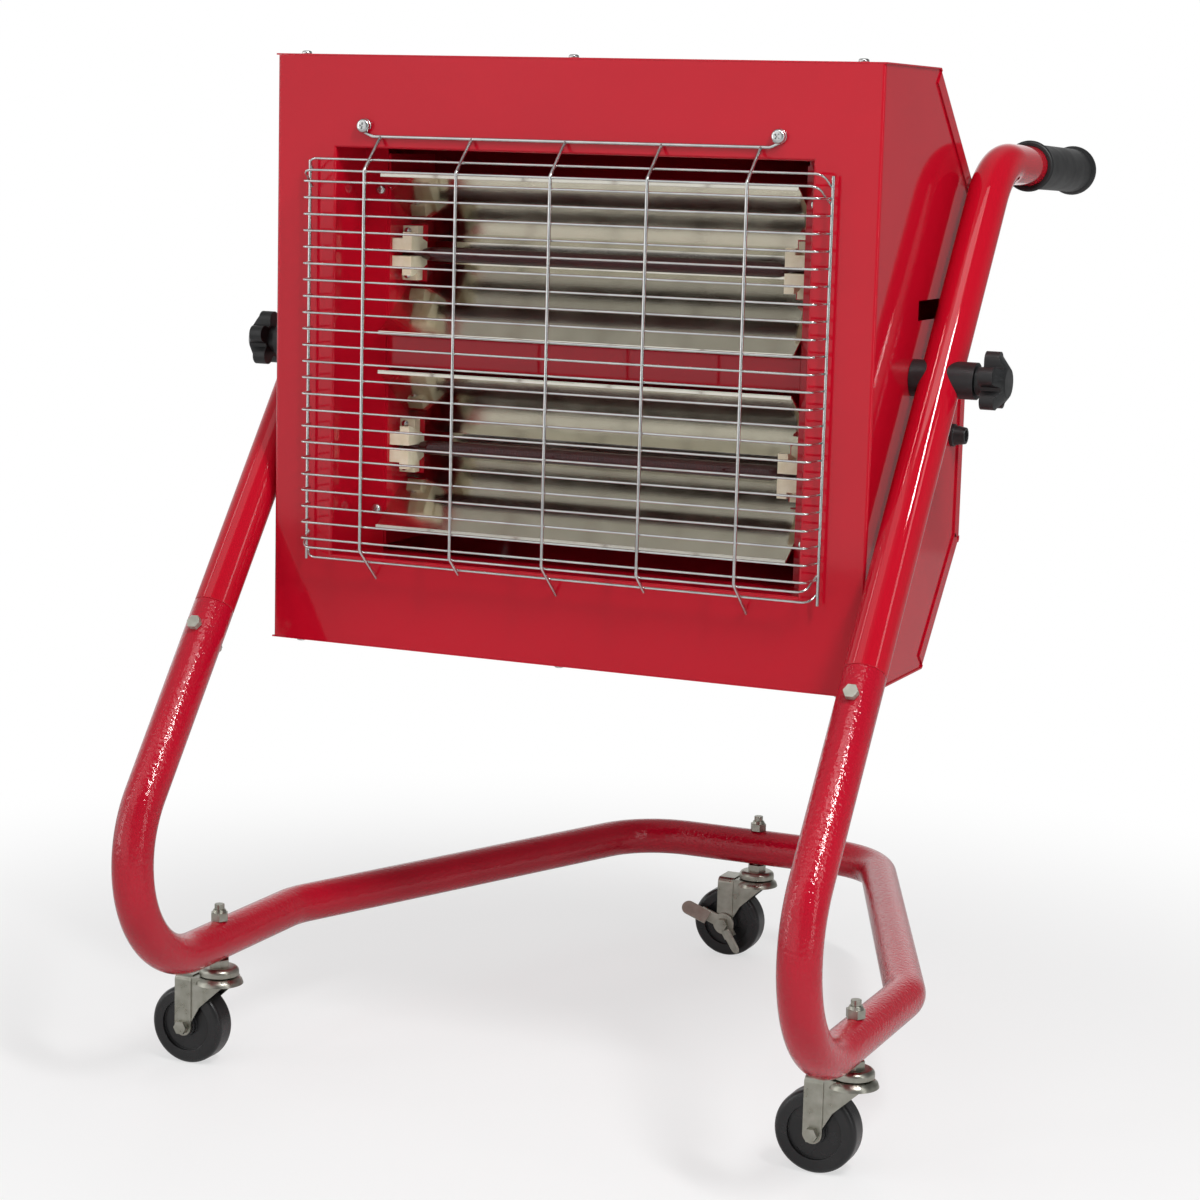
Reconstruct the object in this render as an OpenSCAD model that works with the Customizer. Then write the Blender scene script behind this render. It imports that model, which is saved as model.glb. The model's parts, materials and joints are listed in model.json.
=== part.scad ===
// Infrared halogen heater: a tilting two-lamp cabinet on a wheeled tube stand.
// Millimetres. +X is the heater's left-to-right as seen from the front, the lamps face -Y
// and +Z is up. The floor is z = 0 and the origin is under the middle of the heater.

/* [Tube stand] */
// Outside diameter of all stand tubes
tube_d = 32; // [28:0.5:36]
// Wall of the stand tubes
tube_wall = 2; // [1.5:0.1:3]
// Centreline radius of the handle and base bends
bend_r = 68; // [62:1:74]
// Centreline radius of the bends between the feet and the legs
foot_bend_r = 88; // [82:1:94]
// Lean of the legs from the vertical
leg_lean = 36.75; // [34:0.25:39]
// Distance along the leg from the base line to the tube joint
leg_joint = 340; // [320:1:360]
// Length of the swaged spigot below the joint
spigot_len = 60; // [50:1:80]
// Distance of the joint bolt below the joint
joint_bolt_drop = 24; // [18:1:28]
// Distance from the leg corner to the rear crossbar
base_depth = 720; // [690:1:760]
// Length of the straight feet before they converge
foot_len = 334; // [315:1:350]
// Angle at which the base sides converge
taper_angle = 21.8; // [18:0.1:24]
// Gap between the cabinet side and the tube
side_gap = 5.5; // [5:0.1:9]

/* [Handles] */
// Distance along the leg line from the base line to the handle corner
handle_at = 790; // [770:1:820]
// Droop of the handles below the horizontal
handle_drop = 1.5; // [0:0.1:5]
// Length from the handle corner to the tube end
handle_len = 234; // [225:1:250]
// Length of the rubber grip
grip_len = 146; // [120:1:160]
// Diameter of the grip's waist
grip_d = 36; // [36:0.5:38]
// Diameter of the grip's flange and end bulge
grip_flange_d = 41; // [40:0.5:42]
// Thickness of the grip's flange
grip_flange_t = 5; // [4:0.5:6]

/* [Cabinet] */
// Width of the cabinet
cab_w = 496; // [480:1:520]
// Height of the cabinet
cab_h = 460; // [450:1:480]
// Depth of the cabinet
cab_d = 228; // [215:1:240]
// Depth of the flat top
top_flat = 128; // [120:1:140]
// Height of the sloping part behind the top
top_slope_h = 90; // [80:1:100]
// Depth of the flat bottom
bottom_flat = 144; // [135:1:155]
// Height of the sloping part behind the bottom
bottom_slope_h = 92; // [80:1:100]
// Sheet thickness of the cabinet
sheet = 1.2; // [1:0.1:1.5]
// Gap between two lapped sheets
lap_gap = 0.1; // [0.05:0.05:0.2]
// Width of the lips that lap over the cabinet sides
lip_w = 13; // [10:0.5:16]
// Width of the top and bottom screw flanges
screw_flange = 20; // [16:1:24]
// Distance of the pivot behind the front face
pivot_depth = 94; // [88:1:100]
// Distance of the pivot along the leg from the base line
pivot_at = 590; // [570:1:610]
// Distance of the outer cabinet screws from the middle
cab_screw_x = 228; // [215:1:230]
// Height of the vent slot in each side
vent_h = 15; // [10:1:18]
// Length of the vent slot
vent_len = 52; // [40:1:60]

/* [Front opening] */
// Width of the front opening
open_w = 392; // [384:1:400]
// Height of the front opening
open_h = 318; // [312:1:324]
// Depth of the return around the opening
open_return = 50; // [46:1:54]
// Width of the inner flange beside the lamps
inner_flange = 20; // [18:1:21]

/* [Wire guard] */
// Diameter of the long front wires and the side wires
stay_d = 2.6; // [2.2:0.1:3]
// Diameter of the cross wires
cross_d = 1.8; // [1.4:0.1:2.2]
// Number of cross wires on the front
cross_count = 23; // [19:1:25]
// Pitch of the cross wires
cross_pitch = 12.6; // [12:0.1:12.8]
// Pitch of the long front wires
stay_pitch = 78; // [74:1:80]
// Stand-off of the long front wires from the face
guard_depth = 27; // [24:0.5:30]
// Half width of the guard's front
guard_half_w = 210; // [205:1:214]
// How far the sides of the guard splay outwards
guard_splay = 2.5; // [1.5:0.5:4]
// Stand-off of the side wires from the face
side_wire_off = 7; // [6:0.5:8]
// Depth to which crossing wires are welded together
weld_sink = 0.3; // [0.2:0.1:0.4]
// Height of the guard's middle below the cabinet's middle
guard_drop = 3.5; // [2:0.5:5]
// Height of the straight guard front
guard_front_h = 293; // [290:1:298]
// Rise from the guard front to the mounting rail
guard_rise = 25; // [23:1:27]
// Distance of the guard screws from the middle
guard_screw_x = 170; // [166:1:172]

/* [Lamps and reflectors] */
// Distance between the two lamps
lamp_pitch = 154; // [150:1:158]
// Diameter of the lamp tube
lamp_d = 12; // [10:0.5:13]
// Depth of the lamp axis behind the front face
lamp_depth = 70; // [67:0.5:72]
// Height of a reflector's mouth
mouth_h = 126; // [120:1:130]
// Depth of the reflector lips behind the front face
lip_depth = 32; // [30:1:34]
// Depth of a reflector's back behind the front face
reflector_depth = 107; // [104:1:112]
// Height of a reflector's flat back
reflector_flat = 18; // [14:1:20]
// Thickness of the reflector sheet
reflector_t = 0.8; // [0.6:0.1:1]
// Width of a lamp holder along the lamp
holder_w = 17; // [15:0.5:19]
// Height of a lamp holder with its ears
holder_h = 43; // [40:1:44]
// Height of a lamp holder's face
holder_body_h = 34; // [32:1:36]
// Depth of a lamp holder
holder_d = 27; // [25:0.5:28]

/* [Pivot and knobs] */
// Diameter of the pivot stud
stud_d = 10; // [8:0.5:12]
// Diameter of the saddle spacers
saddle_d = 28; // [24:0.5:30]
// Distance of the saddle's end from the tube's middle
saddle_out = 28.5; // [26:0.5:32]
// Diameter over the lobes of a knob
knob_d = 46; // [42:1:50]
// Length of a knob
knob_len = 24; // [22:0.5:28]
// Number of lobes on a knob
knob_lobes = 5; // [4:1:6]

/* [Casters] */
// Diameter of the wheels
wheel_d = 64; // [60:1:66]
// Width of the wheel tread
wheel_w = 22; // [20:0.5:24]
// Height from the axle to the middle of the base tube
caster_drop = 72.5; // [71.5:0.5:80]
// Trail from the swivel axis to the axle
trail = 25; // [22:0.5:28]
// Distance of the front casters behind the leg corner
caster_at = 214; // [200:1:230]
// Diameter of the caster's stud
stem_d = 8; // [7:0.5:9]
// Diameter of the wheel axle
axle_d = 6; // [5:0.5:8]
// Thickness of the fork's plate
fork_t = 2.5; // [2:0.1:3]

/* [Controls] */
// Width of a rocker switch
rocker_w = 14; // [12:0.5:16]
// Height of a rocker switch
rocker_h = 22; // [20:0.5:24]
// Angle of a rocker to each side of its middle
rocker_throw = 8; // [6:0.5:10]
// Distance between the two switches
switch_pitch = 60; // [50:1:80]
// Height of the switches above the cabinet's bottom
switch_h = 150; // [135:1:165]
// Bore of the cable gland
gland_bore = 9; // [7:0.5:10]

/* [Fits] */
// Radial clearance of running shafts
run_fit = 0.06; // [0.03:0.01:0.1]
// Gap between parts that move past each other
move_gap = 0.3; // [0.3:0.05:0.5]
// Radial clearance of slip fits
slip_fit = 0.1; // [0.05:0.01:0.15]

/* [Hidden] */
$fn = 48;

red = "#b5121f";
dark = "#2b2b2d";
zinc = "#b9bab6";
bright = "#d5d8da";
cream = "#e9e3cf";

tube_r = tube_d / 2;
bore_r = tube_r - tube_wall;
leg_x = cab_w / 2 + side_gap + tube_r;
base_z = wheel_d / 2 + caster_drop;

// Growth of a round of radius r in its bends, and how far its straights run into them
function bend_swell(r) = 0.02 + 0.005 * r;
function bend_lap(r) = 0.2 + 0.02 * r;

// Hardware sizes
m8_flats = 13;
m6_d = 6;
m6_flats = 10;
nut_h = 6.5;
bolt_head_h = 5;
stud_tail = 7;
hole_gap = 0.25;

// Casters: heights below the middle of the base tube
collar_h = 6;
collar_flats = 15;
race_h = 7;
race_r = 16;
skirt_r = race_r + 3.5;
fork_top = tube_r + collar_h + race_h + move_gap;
fork_plate_t = 3;
wheel_gap = 1.5;
leg_in = wheel_w / 2 + wheel_gap;
leg_out = leg_in + fork_t;
fork_leg_r = 7.5;
gusset_t = fork_t * 0.6;
brake_t = 2;
axle_tip = 3;
rear_axle_front = leg_out + move_gap + brake_t + move_gap;
axle_back = leg_out + nut_h + axle_tip;

// Position of the stand along Y, so that the origin is in the middle
front_bend_tan = foot_bend_r * tan((90 + leg_lean) / 2);
front_reach = front_bend_tan - foot_bend_r - tube_r - bend_swell(tube_r);
rear_reach = base_depth + max(tube_r, axle_back);
corner_y = -(front_reach + rear_reach) / 2;
crossbar_y = corner_y + base_depth;
crossbar_half = leg_x - (base_depth - foot_len) * tan(taper_angle);
caster_y = corner_y + caster_at;

// Cabinet placed about its pivot
pivot_y = corner_y + pivot_at * sin(leg_lean);
pivot_z = base_z + pivot_at * cos(leg_lean);
face_y = pivot_y - pivot_depth;
cab_z = pivot_z - cab_h / 2;
half_w = cab_w / 2;

// Lamps
lamp_heights = [cab_h / 2 + lamp_pitch / 2, cab_h / 2 - lamp_pitch / 2];
wall_x = open_w / 2 - inner_flange - sheet - 0.8;
bracket_h = open_h - 8;
bracket_back = 125;
bracket_screw_in = 28;
holder_back = lamp_depth + 11;
pinch_t = 3.4;
pinch_w = 7;
pinch_len = 13;
neck_len = 9;
cap_len = 6;
end_gap = 2;
holder_back_h = 18;
holder_nose = 8;
holder_neck_h = 24;
ear_w = 13;
ear_screw_in = 4.5;
ear_d = 8;
strip_gap = 3;
strip_fold = 12;

// Screws
screw_d = 4;
small_head_d = 8;
small_head_h = 2.6;
guard_head_d = 11;
guard_head_h = 3.6;
ear_head_d = 6;
ear_head_h = 2.2;

// Guard
guard_mid = cab_h / 2 - guard_drop;
guard_top = guard_mid + guard_front_h / 2;
guard_bottom = guard_mid - guard_front_h / 2;
rail_h = guard_top + guard_rise;
rail_off = stay_d / 2 + lap_gap;
hook_drop = 24;
hook_h = guard_bottom - hook_drop;
hook_len = 8;
top_slope = [guard_depth - rail_off, guard_rise];
low_slope = [guard_depth, guard_bottom - hook_h];
top_tray_at = 12.5;
low_tray_at = 18;
cross_off = guard_depth - (stay_d + cross_d) / 2 + weld_sink;
cross_drop = 2;
wire_bend = 4;
eye_r = 4.5;
rail_kick = 24;
kick_run = 9.5;
guard_screw_h = rail_h + kick_run * sin(rail_kick) + eye_r * cos(rail_kick);
hook_hole_r = stay_d * 0.75 + 0.6;

// Pivot
saddle_x = leg_x + saddle_out;
knob_x = saddle_x + move_gap;
knob_rim_t = 11;
knob_hub_r = 11;
stud_in = 14;

// Controls
switch_bezel = 3;
switch_body_d = 24;
gland_depth = 199;
gland_h = 178;
gland_r = 9;
gland_out = 12;
gland_in = 10;

// Parts on the cabinet's floor
terminal_at = [110, 60];
terminal_base = [46, 20, 6];
barrel = [10, 14, 10];
barrel_pitch = 15;
tip_at = [-140, 60];
tip_foot = [40, 24, 3];
tip_body = [28, 18, 32];

// A round or ring-shaped tube section
module ring(r, bore) {
    difference() {
        circle(r);
        if (bore > 0) circle(bore);
    }
}

// A tube along +Z that follows a bender's list of [straight length, roll, bend angle, bend radius].
// Bends come out a hair thicker than the straights, which run a little way into them.
module bent_tube(steps, last, r, bore, i = 0) {
    lap = bend_lap(r);
    swell = bend_swell(r);
    start = i > 0 ? -lap : 0;
    if (i == len(steps)) {
        if (last > 0) translate([0, 0, start]) linear_extrude(last - start) ring(r, bore);
    } else {
        run = steps[i][0];
        angle = steps[i][2];
        radius = steps[i][3];
        translate([0, 0, start]) linear_extrude(run + lap - start) ring(r, bore);
        translate([0, 0, run]) rotate([0, 0, steps[i][1]]) {
            translate([radius, 0, 0]) rotate([0, 0, 180]) rotate([90, 0, 0])
                rotate_extrude(angle = angle) translate([radius, 0]) ring(r + swell, bore - swell);
            translate([radius * (1 - cos(angle)), 0, radius * sin(angle)]) rotate([0, angle, 0])
                bent_tube(steps, last, r, bore, i + 1);
        }
    }
}

// A place on the right leg's line, with +Z along the leg and +Y to the rear
module on_leg(along) {
    translate([leg_x, corner_y + along * sin(leg_lean), base_z + along * cos(leg_lean)])
        rotate([-leg_lean, 0, 0]) children();
}

module both_sides() {
    children();
    mirror([1, 0, 0]) children();
}

module hex_prism(flats, h) {
    cylinder(d = flats / cos(30), h = h, $fn = 6);
}

// A pan head with its flat face on z = 0 and its shank below
module pan_screw(head_d, head_h, shank_d, shank) {
    rim = head_h * 0.45;
    rotate_extrude() difference() {
        union() {
            square([head_d / 2, rim]);
            intersection() {
                translate([0, rim]) square([head_d / 2, head_h]);
                translate([0, head_h - head_d * 0.62]) circle(head_d * 0.62);
            }
        }
        translate([-head_d, -head_d]) square([head_d, 3 * head_d]);
    }
    translate([0, 0, -shank]) cylinder(d = shank_d, h = shank);
}

// Stand

module half_frame() {
    side_tan = bend_r * tan((90 - taper_angle) / 2);
    foot_tan = bend_r * tan(taper_angle / 2);
    side_len = (base_depth - foot_len) / cos(taper_angle);
    steps = [
        [crossbar_half - side_tan, 0, 90 - taper_angle, bend_r],
        [side_len - side_tan - foot_tan, 0, taper_angle, bend_r],
        [foot_len - foot_tan - front_bend_tan, -90, 90 + leg_lean, foot_bend_r]
    ];
    translate([0, crossbar_y, base_z]) rotate([-90, 0, 0]) rotate([0, 90, 0])
        bent_tube(steps, leg_joint - front_bend_tan, tube_r, bore_r);
}

module joint_hole() {
    on_leg(leg_joint - joint_bolt_drop) rotate([90, 0, 0])
        cylinder(r = m6_d / 2 + hole_gap, h = 2 * tube_d, center = true);
}

caster_places = [[-leg_x, caster_y], [leg_x, caster_y], [0, crossbar_y]];

module base_frame() {
    color(red) difference() {
        both_sides() half_frame();
        both_sides() joint_hole();
        for (p = caster_places)
            translate([p[0], p[1], base_z]) cylinder(r = stem_d / 2 + hole_gap, h = 2 * tube_d, center = true);
    }
}

module upper_tube() {
    handle_turn = 90 - leg_lean + handle_drop;
    handle_tan = bend_r * tan(handle_turn / 2);
    spigot_r = bore_r - slip_fit;
    swage = 12;
    difference() {
        union() {
            on_leg(leg_joint)
                bent_tube([[handle_at - leg_joint - handle_tan, 90, handle_turn, bend_r]],
                          handle_len - handle_tan, tube_r, bore_r);
            on_leg(leg_joint) rotate_extrude() polygon([
                [spigot_r - tube_wall, -spigot_len], [spigot_r, -spigot_len], [spigot_r, 0],
                [bore_r + tube_wall / 2, 0], [bore_r + tube_wall / 2, swage], [spigot_r - tube_wall, swage]
            ]);
        }
        joint_hole();
        translate([leg_x, pivot_y, pivot_z]) rotate([0, 90, 0])
            cylinder(r = stud_d / 2 + move_gap, h = 2 * tube_d, center = true);
    }
}

module right_upper_tube() { color(red) upper_tube(); }
module left_upper_tube() { color(red) mirror([1, 0, 0]) upper_tube(); }

// Half section of a grip: flange, waisted sleeve, end bulge and closed end
module grip_section() {
    flange_r = grip_flange_d / 2;
    bulge_r = 9;
    inner = tube_r + slip_fit / 2;
    end_t = 3;
    difference() {
        union() {
            square([flange_r - grip_flange_t / 2, grip_flange_t]);
            translate([flange_r - grip_flange_t / 2, grip_flange_t / 2]) circle(grip_flange_t / 2);
            square([grip_d / 2, grip_len - bulge_r]);
            translate([0, grip_len - 2 * bulge_r]) square([flange_r - bulge_r, 2 * bulge_r]);
            translate([flange_r - bulge_r, grip_len - bulge_r]) circle(bulge_r);
        }
        translate([-1, -1]) square([inner + 1, grip_len - end_t + 1]);
        translate([-grip_len, -1]) square([grip_len, grip_len + 2]);
    }
}

module grip() {
    grip_start = handle_len + 3 + slip_fit - grip_len;
    on_leg(handle_at) rotate([-(90 - leg_lean + handle_drop), 0, 0]) translate([0, 0, grip_start])
        rotate_extrude() grip_section();
}

module right_grip() { color(dark) grip(); }
module left_grip() { color(dark) mirror([1, 0, 0]) grip(); }

module joint_bolts() {
    bolt_len = tube_d + nut_h + 4;
    color(zinc) both_sides() on_leg(leg_joint - joint_bolt_drop) rotate([-90, 0, 0])
        translate([0, 0, -tube_r]) {
            translate([0, 0, -bolt_head_h]) hex_prism(m6_flats, bolt_head_h);
            cylinder(d = m6_d, h = bolt_len);
        }
}

module joint_nuts() {
    color(zinc) both_sides() on_leg(leg_joint - joint_bolt_drop) rotate([-90, 0, 0])
        translate([0, 0, tube_r]) difference() {
            hex_prism(m6_flats, nut_h);
            translate([0, 0, -1]) cylinder(r = m6_d / 2 + slip_fit, h = nut_h + 2);
        }
}

// Saddle spacers: a plastic cylinder along X with the tube's round cut into it
module saddle(from, to) {
    difference() {
        translate([from, pivot_y, pivot_z]) rotate([0, 90, 0]) cylinder(d = saddle_d, h = to - from);
        on_leg(pivot_at) cylinder(r = tube_r + slip_fit / 2, h = 3 * tube_d, center = true);
        translate([from - 1, pivot_y, pivot_z]) rotate([0, 90, 0])
            cylinder(r = stud_d / 2 + slip_fit, h = to - from + 2);
    }
}

module inner_saddles() { color(dark) both_sides() saddle(half_w + move_gap, leg_x); }
module outer_saddles() { color(dark) both_sides() saddle(leg_x, saddle_x); }

// Pivot stud: a round head inside the cabinet and a shank out to the knob
module pivot_studs() {
    head_t = 3;
    inside = half_w - sheet;
    color(zinc) both_sides() translate([inside, pivot_y, pivot_z]) rotate([0, 90, 0]) {
        translate([0, 0, -head_t]) cylinder(r = stud_d, h = head_t);
        cylinder(d = stud_d, h = knob_x + stud_in - inside);
    }
}

module knob() {
    lobe_r = knob_d * 0.15;
    lobe_at = knob_d / 2 - lobe_r;
    boss = knob_len - knob_rim_t - 7;
    translate([knob_x, pivot_y, pivot_z]) rotate([0, 90, 0]) difference() {
        union() {
            cylinder(r = knob_hub_r, h = boss + 1);
            intersection() {
                translate([0, 0, boss]) linear_extrude(knob_len - boss) {
                    circle(knob_d * 0.3);
                    for (i = [0:knob_lobes - 1]) rotate(180 + i * 360 / knob_lobes) {
                        translate([0, -lobe_r]) square([lobe_at, 2 * lobe_r]);
                        translate([lobe_at, 0]) circle(lobe_r);
                    }
                }
                rotate_extrude() polygon([
                    [0, boss], [knob_d / 2 + 1, boss], [knob_d / 2 + 1, boss + knob_rim_t],
                    [knob_d / 2 - 3, boss + knob_rim_t], [knob_hub_r, knob_len], [0, knob_len]
                ]);
            }
        }
        translate([0, 0, -1]) cylinder(r = stud_d / 2 + run_fit, h = stud_in + move_gap + 1);
    }
}

module right_knob() { color(dark) knob(); }
module left_knob() { color(dark) mirror([1, 0, 0]) knob(); }

// Casters

module at_caster(i) {
    translate([caster_places[i][0], caster_places[i][1], base_z]) children();
}

module caster_stem() {
    pin_r = 5;
    shoulder = 4;
    plate_under = fork_top + fork_plate_t;
    translate([0, 0, -tube_r - 1]) cylinder(d = stem_d, h = tube_d + nut_h + stud_tail + 1);
    translate([0, 0, -tube_r - collar_h]) hex_prism(collar_flats, collar_h);
    translate([0, 0, -tube_r - collar_h - race_h]) rotate_extrude() union() {
        square([race_r - shoulder, race_h]);
        square([race_r, race_h - shoulder]);
        translate([race_r - shoulder, race_h - shoulder]) intersection() {
            circle(shoulder);
            square(shoulder);
        }
    }
    translate([0, 0, -plate_under - 1]) cylinder(r = pin_r, h = fork_plate_t + move_gap + 2);
    translate([0, 0, -plate_under - move_gap - 3]) cylinder(r = pin_r + 3, h = 3);
}

module caster_stems() { color(zinc) for (i = [0:2]) at_caster(i) caster_stem(); }

// Lock nut: a hexagon with a round collar on top
module caster_nuts() {
    collar = 2.5;
    color(bright) for (i = [0:2]) at_caster(i) translate([0, 0, tube_r]) difference() {
        union() {
            hex_prism(m8_flats, nut_h);
            translate([0, 0, nut_h - 0.5]) cylinder(d1 = m8_flats - 0.6, d2 = m8_flats - 3, h = collar + 0.5);
        }
        translate([0, 0, -1]) cylinder(r = stem_d / 2 + slip_fit, h = nut_h + collar + 2);
    }
}

// Side view of a fork leg: a straight band with a round end about the axle at [-trail, -drop]
module leg_band(drop) {
    translate([-trail - fork_leg_r, -drop]) square([2 * fork_leg_r, drop + 1]);
    translate([-trail, -drop]) circle(fork_leg_r);
}

// Section of the fork across its legs: an arch with rounded shoulders, open below
module fork_arch(drop) {
    shoulder = 5;
    foot = drop + fork_leg_r + 1;
    difference() {
        union() {
            translate([-leg_out, -foot]) square([2 * leg_out, foot - shoulder]);
            translate([shoulder - leg_out, -shoulder - 1]) square([2 * (leg_out - shoulder), shoulder + 1]);
            for (s = [-1, 1]) translate([s * (leg_out - shoulder), -shoulder]) circle(shoulder);
        }
        translate([-leg_in, -foot - 1]) square([2 * leg_in, foot + 1 - fork_plate_t]);
    }
}

module fork() {
    pin_hole = 5 + slip_fit;
    drop = caster_drop - fork_top;
    front = -trail + fork_leg_r;
    translate([0, 0, -fork_top]) difference() {
        union() {
            rotate_extrude() polygon([
                [0, 0], [race_r - 3, 0], [race_r, -1], [skirt_r - 1, -3.5], [skirt_r, -6.5], [skirt_r - 1.6, -6.5],
                [race_r, -4], [race_r - 2, -fork_plate_t], [0, -fork_plate_t]
            ]);
            intersection() {
                translate([front, 0, 0]) rotate([90, 0, -90]) linear_extrude(2 * fork_leg_r) fork_arch(drop);
                translate([0, 2 * leg_out, 0]) rotate([90, 0, 0]) linear_extrude(4 * leg_out) leg_band(drop);
            }
            translate([front - 1, -leg_in - gusset_t, -fork_plate_t]) cube([-front, 2 * leg_in + 2 * gusset_t, 2]);
            for (y = [leg_in, -leg_in - gusset_t]) translate([0, y + gusset_t, 0]) rotate([90, 0, 0])
                linear_extrude(gusset_t) polygon([
                    [front - 1, -1.5], [11, -1.5], [11, -6], [front + 7, -drop * 0.6], [front - 1, -drop + 3]
                ]);
        }
        translate([0, 0, -10]) cylinder(r = pin_hole, h = 20);
        translate([-trail, 0, -drop]) rotate([90, 0, 0])
            cylinder(r = axle_d / 2 + hole_gap, h = 4 * leg_out, center = true);
    }
}

module front_left_fork() { color(zinc) at_caster(0) fork(); }
module front_right_fork() { color(zinc) at_caster(1) fork(); }
module rear_fork() { color(zinc) at_caster(2) fork(); }

// Axle bolt along Y: hex head at the front, nut at the back
module axle(head_y) {
    translate([-trail, 0, -caster_drop]) rotate([-90, 0, 0]) {
        translate([0, 0, -head_y - bolt_head_h]) hex_prism(m6_flats, bolt_head_h);
        translate([0, 0, -head_y - 1]) cylinder(d = axle_d, h = head_y + 1 + axle_back);
        translate([0, 0, leg_out]) hex_prism(m6_flats, nut_h);
    }
}

module front_left_axle() { color(zinc) at_caster(0) axle(leg_out); }
module front_right_axle() { color(zinc) at_caster(1) axle(leg_out); }
module rear_axle() { color(zinc) at_caster(2) axle(rear_axle_front); }

// Half section of a wheel: hub, recessed web and a tread with rounded shoulders
module wheel_section() {
    r = wheel_d / 2;
    half = wheel_w / 2;
    shoulder = 5;
    hub_r = 9;
    rim_r = r * 0.66;
    difference() {
        union() {
            translate([0, -half - wheel_gap + move_gap]) square([hub_r, wheel_w + 2 * wheel_gap - 2 * move_gap]);
            translate([0, -half + 3]) square([rim_r + 1, wheel_w - 6]);
            translate([rim_r, -half]) square([r - shoulder - rim_r, wheel_w]);
            translate([rim_r, -half + shoulder]) square([r - rim_r, wheel_w - 2 * shoulder]);
            for (s = [-1, 1]) translate([r - shoulder, s * (half - shoulder)]) circle(shoulder);
        }
        translate([-r, -r]) square([r + axle_d / 2 + run_fit, wheel_d]);
    }
}

module wheel() {
    translate([-trail, 0, -caster_drop]) rotate([90, 0, 0]) rotate_extrude() wheel_section();
}

module front_left_wheel() { color(dark) at_caster(0) wheel(); }
module front_right_wheel() { color(dark) at_caster(1) wheel(); }
module rear_wheel() { color(dark) at_caster(2) wheel(); }

// Toe tab of the brake: a round-ended plate of the given length that leans outwards
module toe_tab(length) {
    w = 13;
    rotate([40, 0, 0]) linear_extrude(brake_t) {
        square([length - w / 2, w]);
        translate([length - w / 2, w / 2]) circle(w / 2);
    }
}

// Brake lever: a plate on the axle with a toe tab to each side
module brake_lever() {
    hub_r = 10;
    arm = 24;
    short_arm = 14;
    arm_angle = 160;
    short_angle = -58;
    color(zinc) at_caster(2) translate([-trail, -leg_out - move_gap, -caster_drop])
        rotate([90, 0, 0]) difference() {
            union() {
                linear_extrude(brake_t) {
                    circle(hub_r);
                    rotate(arm_angle) translate([0, -6]) square([arm, 11]);
                    rotate(short_angle) translate([0, -6]) square([short_arm, 12]);
                }
                rotate(arm_angle) translate([arm - 9, -4, 0]) toe_tab(27);
                rotate(short_angle) translate([short_arm - 8, -4, 0]) toe_tab(24);
            }
            translate([0, 0, -1]) cylinder(r = axle_d / 2 + run_fit, h = brake_t + 2);
        }
}

// Cabinet

// A place on the cabinet: x from the middle, depth behind the face, height above the bottom
module on_cab(x, depth, h) {
    translate([x, face_y + depth, cab_z + h]) children();
}

// Side profile as [depth, height], set in by a margin on all edges but the front
function cab_profile(m) = [
    [0, m],
    [bottom_flat - m * tan(atan2(bottom_slope_h, cab_d - bottom_flat) / 2), m],
    [cab_d - m, bottom_slope_h + m * tan((90 - atan2(bottom_slope_h, cab_d - bottom_flat)) / 2)],
    [cab_d - m, cab_h - top_slope_h - m * tan((90 - atan2(top_slope_h, cab_d - top_flat)) / 2)],
    [top_flat - m * tan(atan2(top_slope_h, cab_d - top_flat) / 2), cab_h - m],
    [0, cab_h - m]
];

// The profile as a solid between two x positions
module profile_solid(m, from, to) {
    on_cab(from, 0, 0) rotate([90, 0, 90]) linear_extrude(to - from) polygon(cab_profile(m));
}

module vent_slot() {
    on_cab(half_w - 5, 100, cab_h / 2 + 42) cube([10, vent_len, vent_h]);
}

// The front: its face, the return round the opening, the inner flanges and the screw flanges
module front_shell() {
    inset = sheet + lap_gap;
    face_h = cab_h - 2 * inset;
    flange_half = half_w - inset;
    color(red) difference() {
        union() {
            on_cab(-half_w, 0, inset) cube([cab_w, sheet, face_h]);
            for (h = [inset, cab_h - inset - sheet])
                on_cab(-flange_half, 0, h) cube([2 * flange_half, screw_flange, sheet]);
            on_cab(-open_w / 2 - sheet, 0, (cab_h - open_h) / 2 - sheet)
                cube([open_w + 2 * sheet, open_return, open_h + 2 * sheet]);
        }
        on_cab(-open_w / 2, -1, (cab_h - open_h) / 2) cube([open_w, open_return - sheet + 1, open_h]);
        on_cab(-open_w / 2 + inner_flange, 0, (cab_h - open_h) / 2)
            cube([open_w - 2 * inner_flange, open_return + 1, open_h]);
        both_sides() {
            on_cab(guard_screw_x, -1, guard_screw_h) rotate([-90, 0, 0])
                cylinder(r = screw_d / 2 + hole_gap, h = 5);
            for (h = bracket_screw_heights)
                on_cab(bracket_screw_x, open_return - 5, h) rotate([-90, 0, 0])
                    cylinder(r = screw_d / 2 + hole_gap, h = 10);
        }
        for (x = [-2, 0, 2])
            on_cab(x * stay_pitch, -1, hook_h) rotate([-90, 0, 0]) cylinder(r = hook_hole_r, h = 5);
        for (x = [-1, 0, 1]) on_cab(x * cab_screw_x, screw_flange / 2, -1)
            cylinder(r = screw_d / 2 + hole_gap, h = cab_h + 2);
    }
}

// The right wall, welded behind the front's edge, with its vent and the hole for the pivot stud
module side_panel() {
    inset = sheet + lap_gap;
    difference() {
        profile_solid(inset, half_w - sheet, half_w);
        on_cab(half_w - 5, -1, -1) cube([10, inset + 1, cab_h + 2]);
        vent_slot();
        on_cab(half_w - 5, pivot_depth, cab_h / 2) rotate([0, 90, 0])
            cylinder(r = stud_d / 2 + slip_fit, h = 10);
    }
}

module left_side_panel() { color(red) mirror([1, 0, 0]) side_panel(); }

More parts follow.
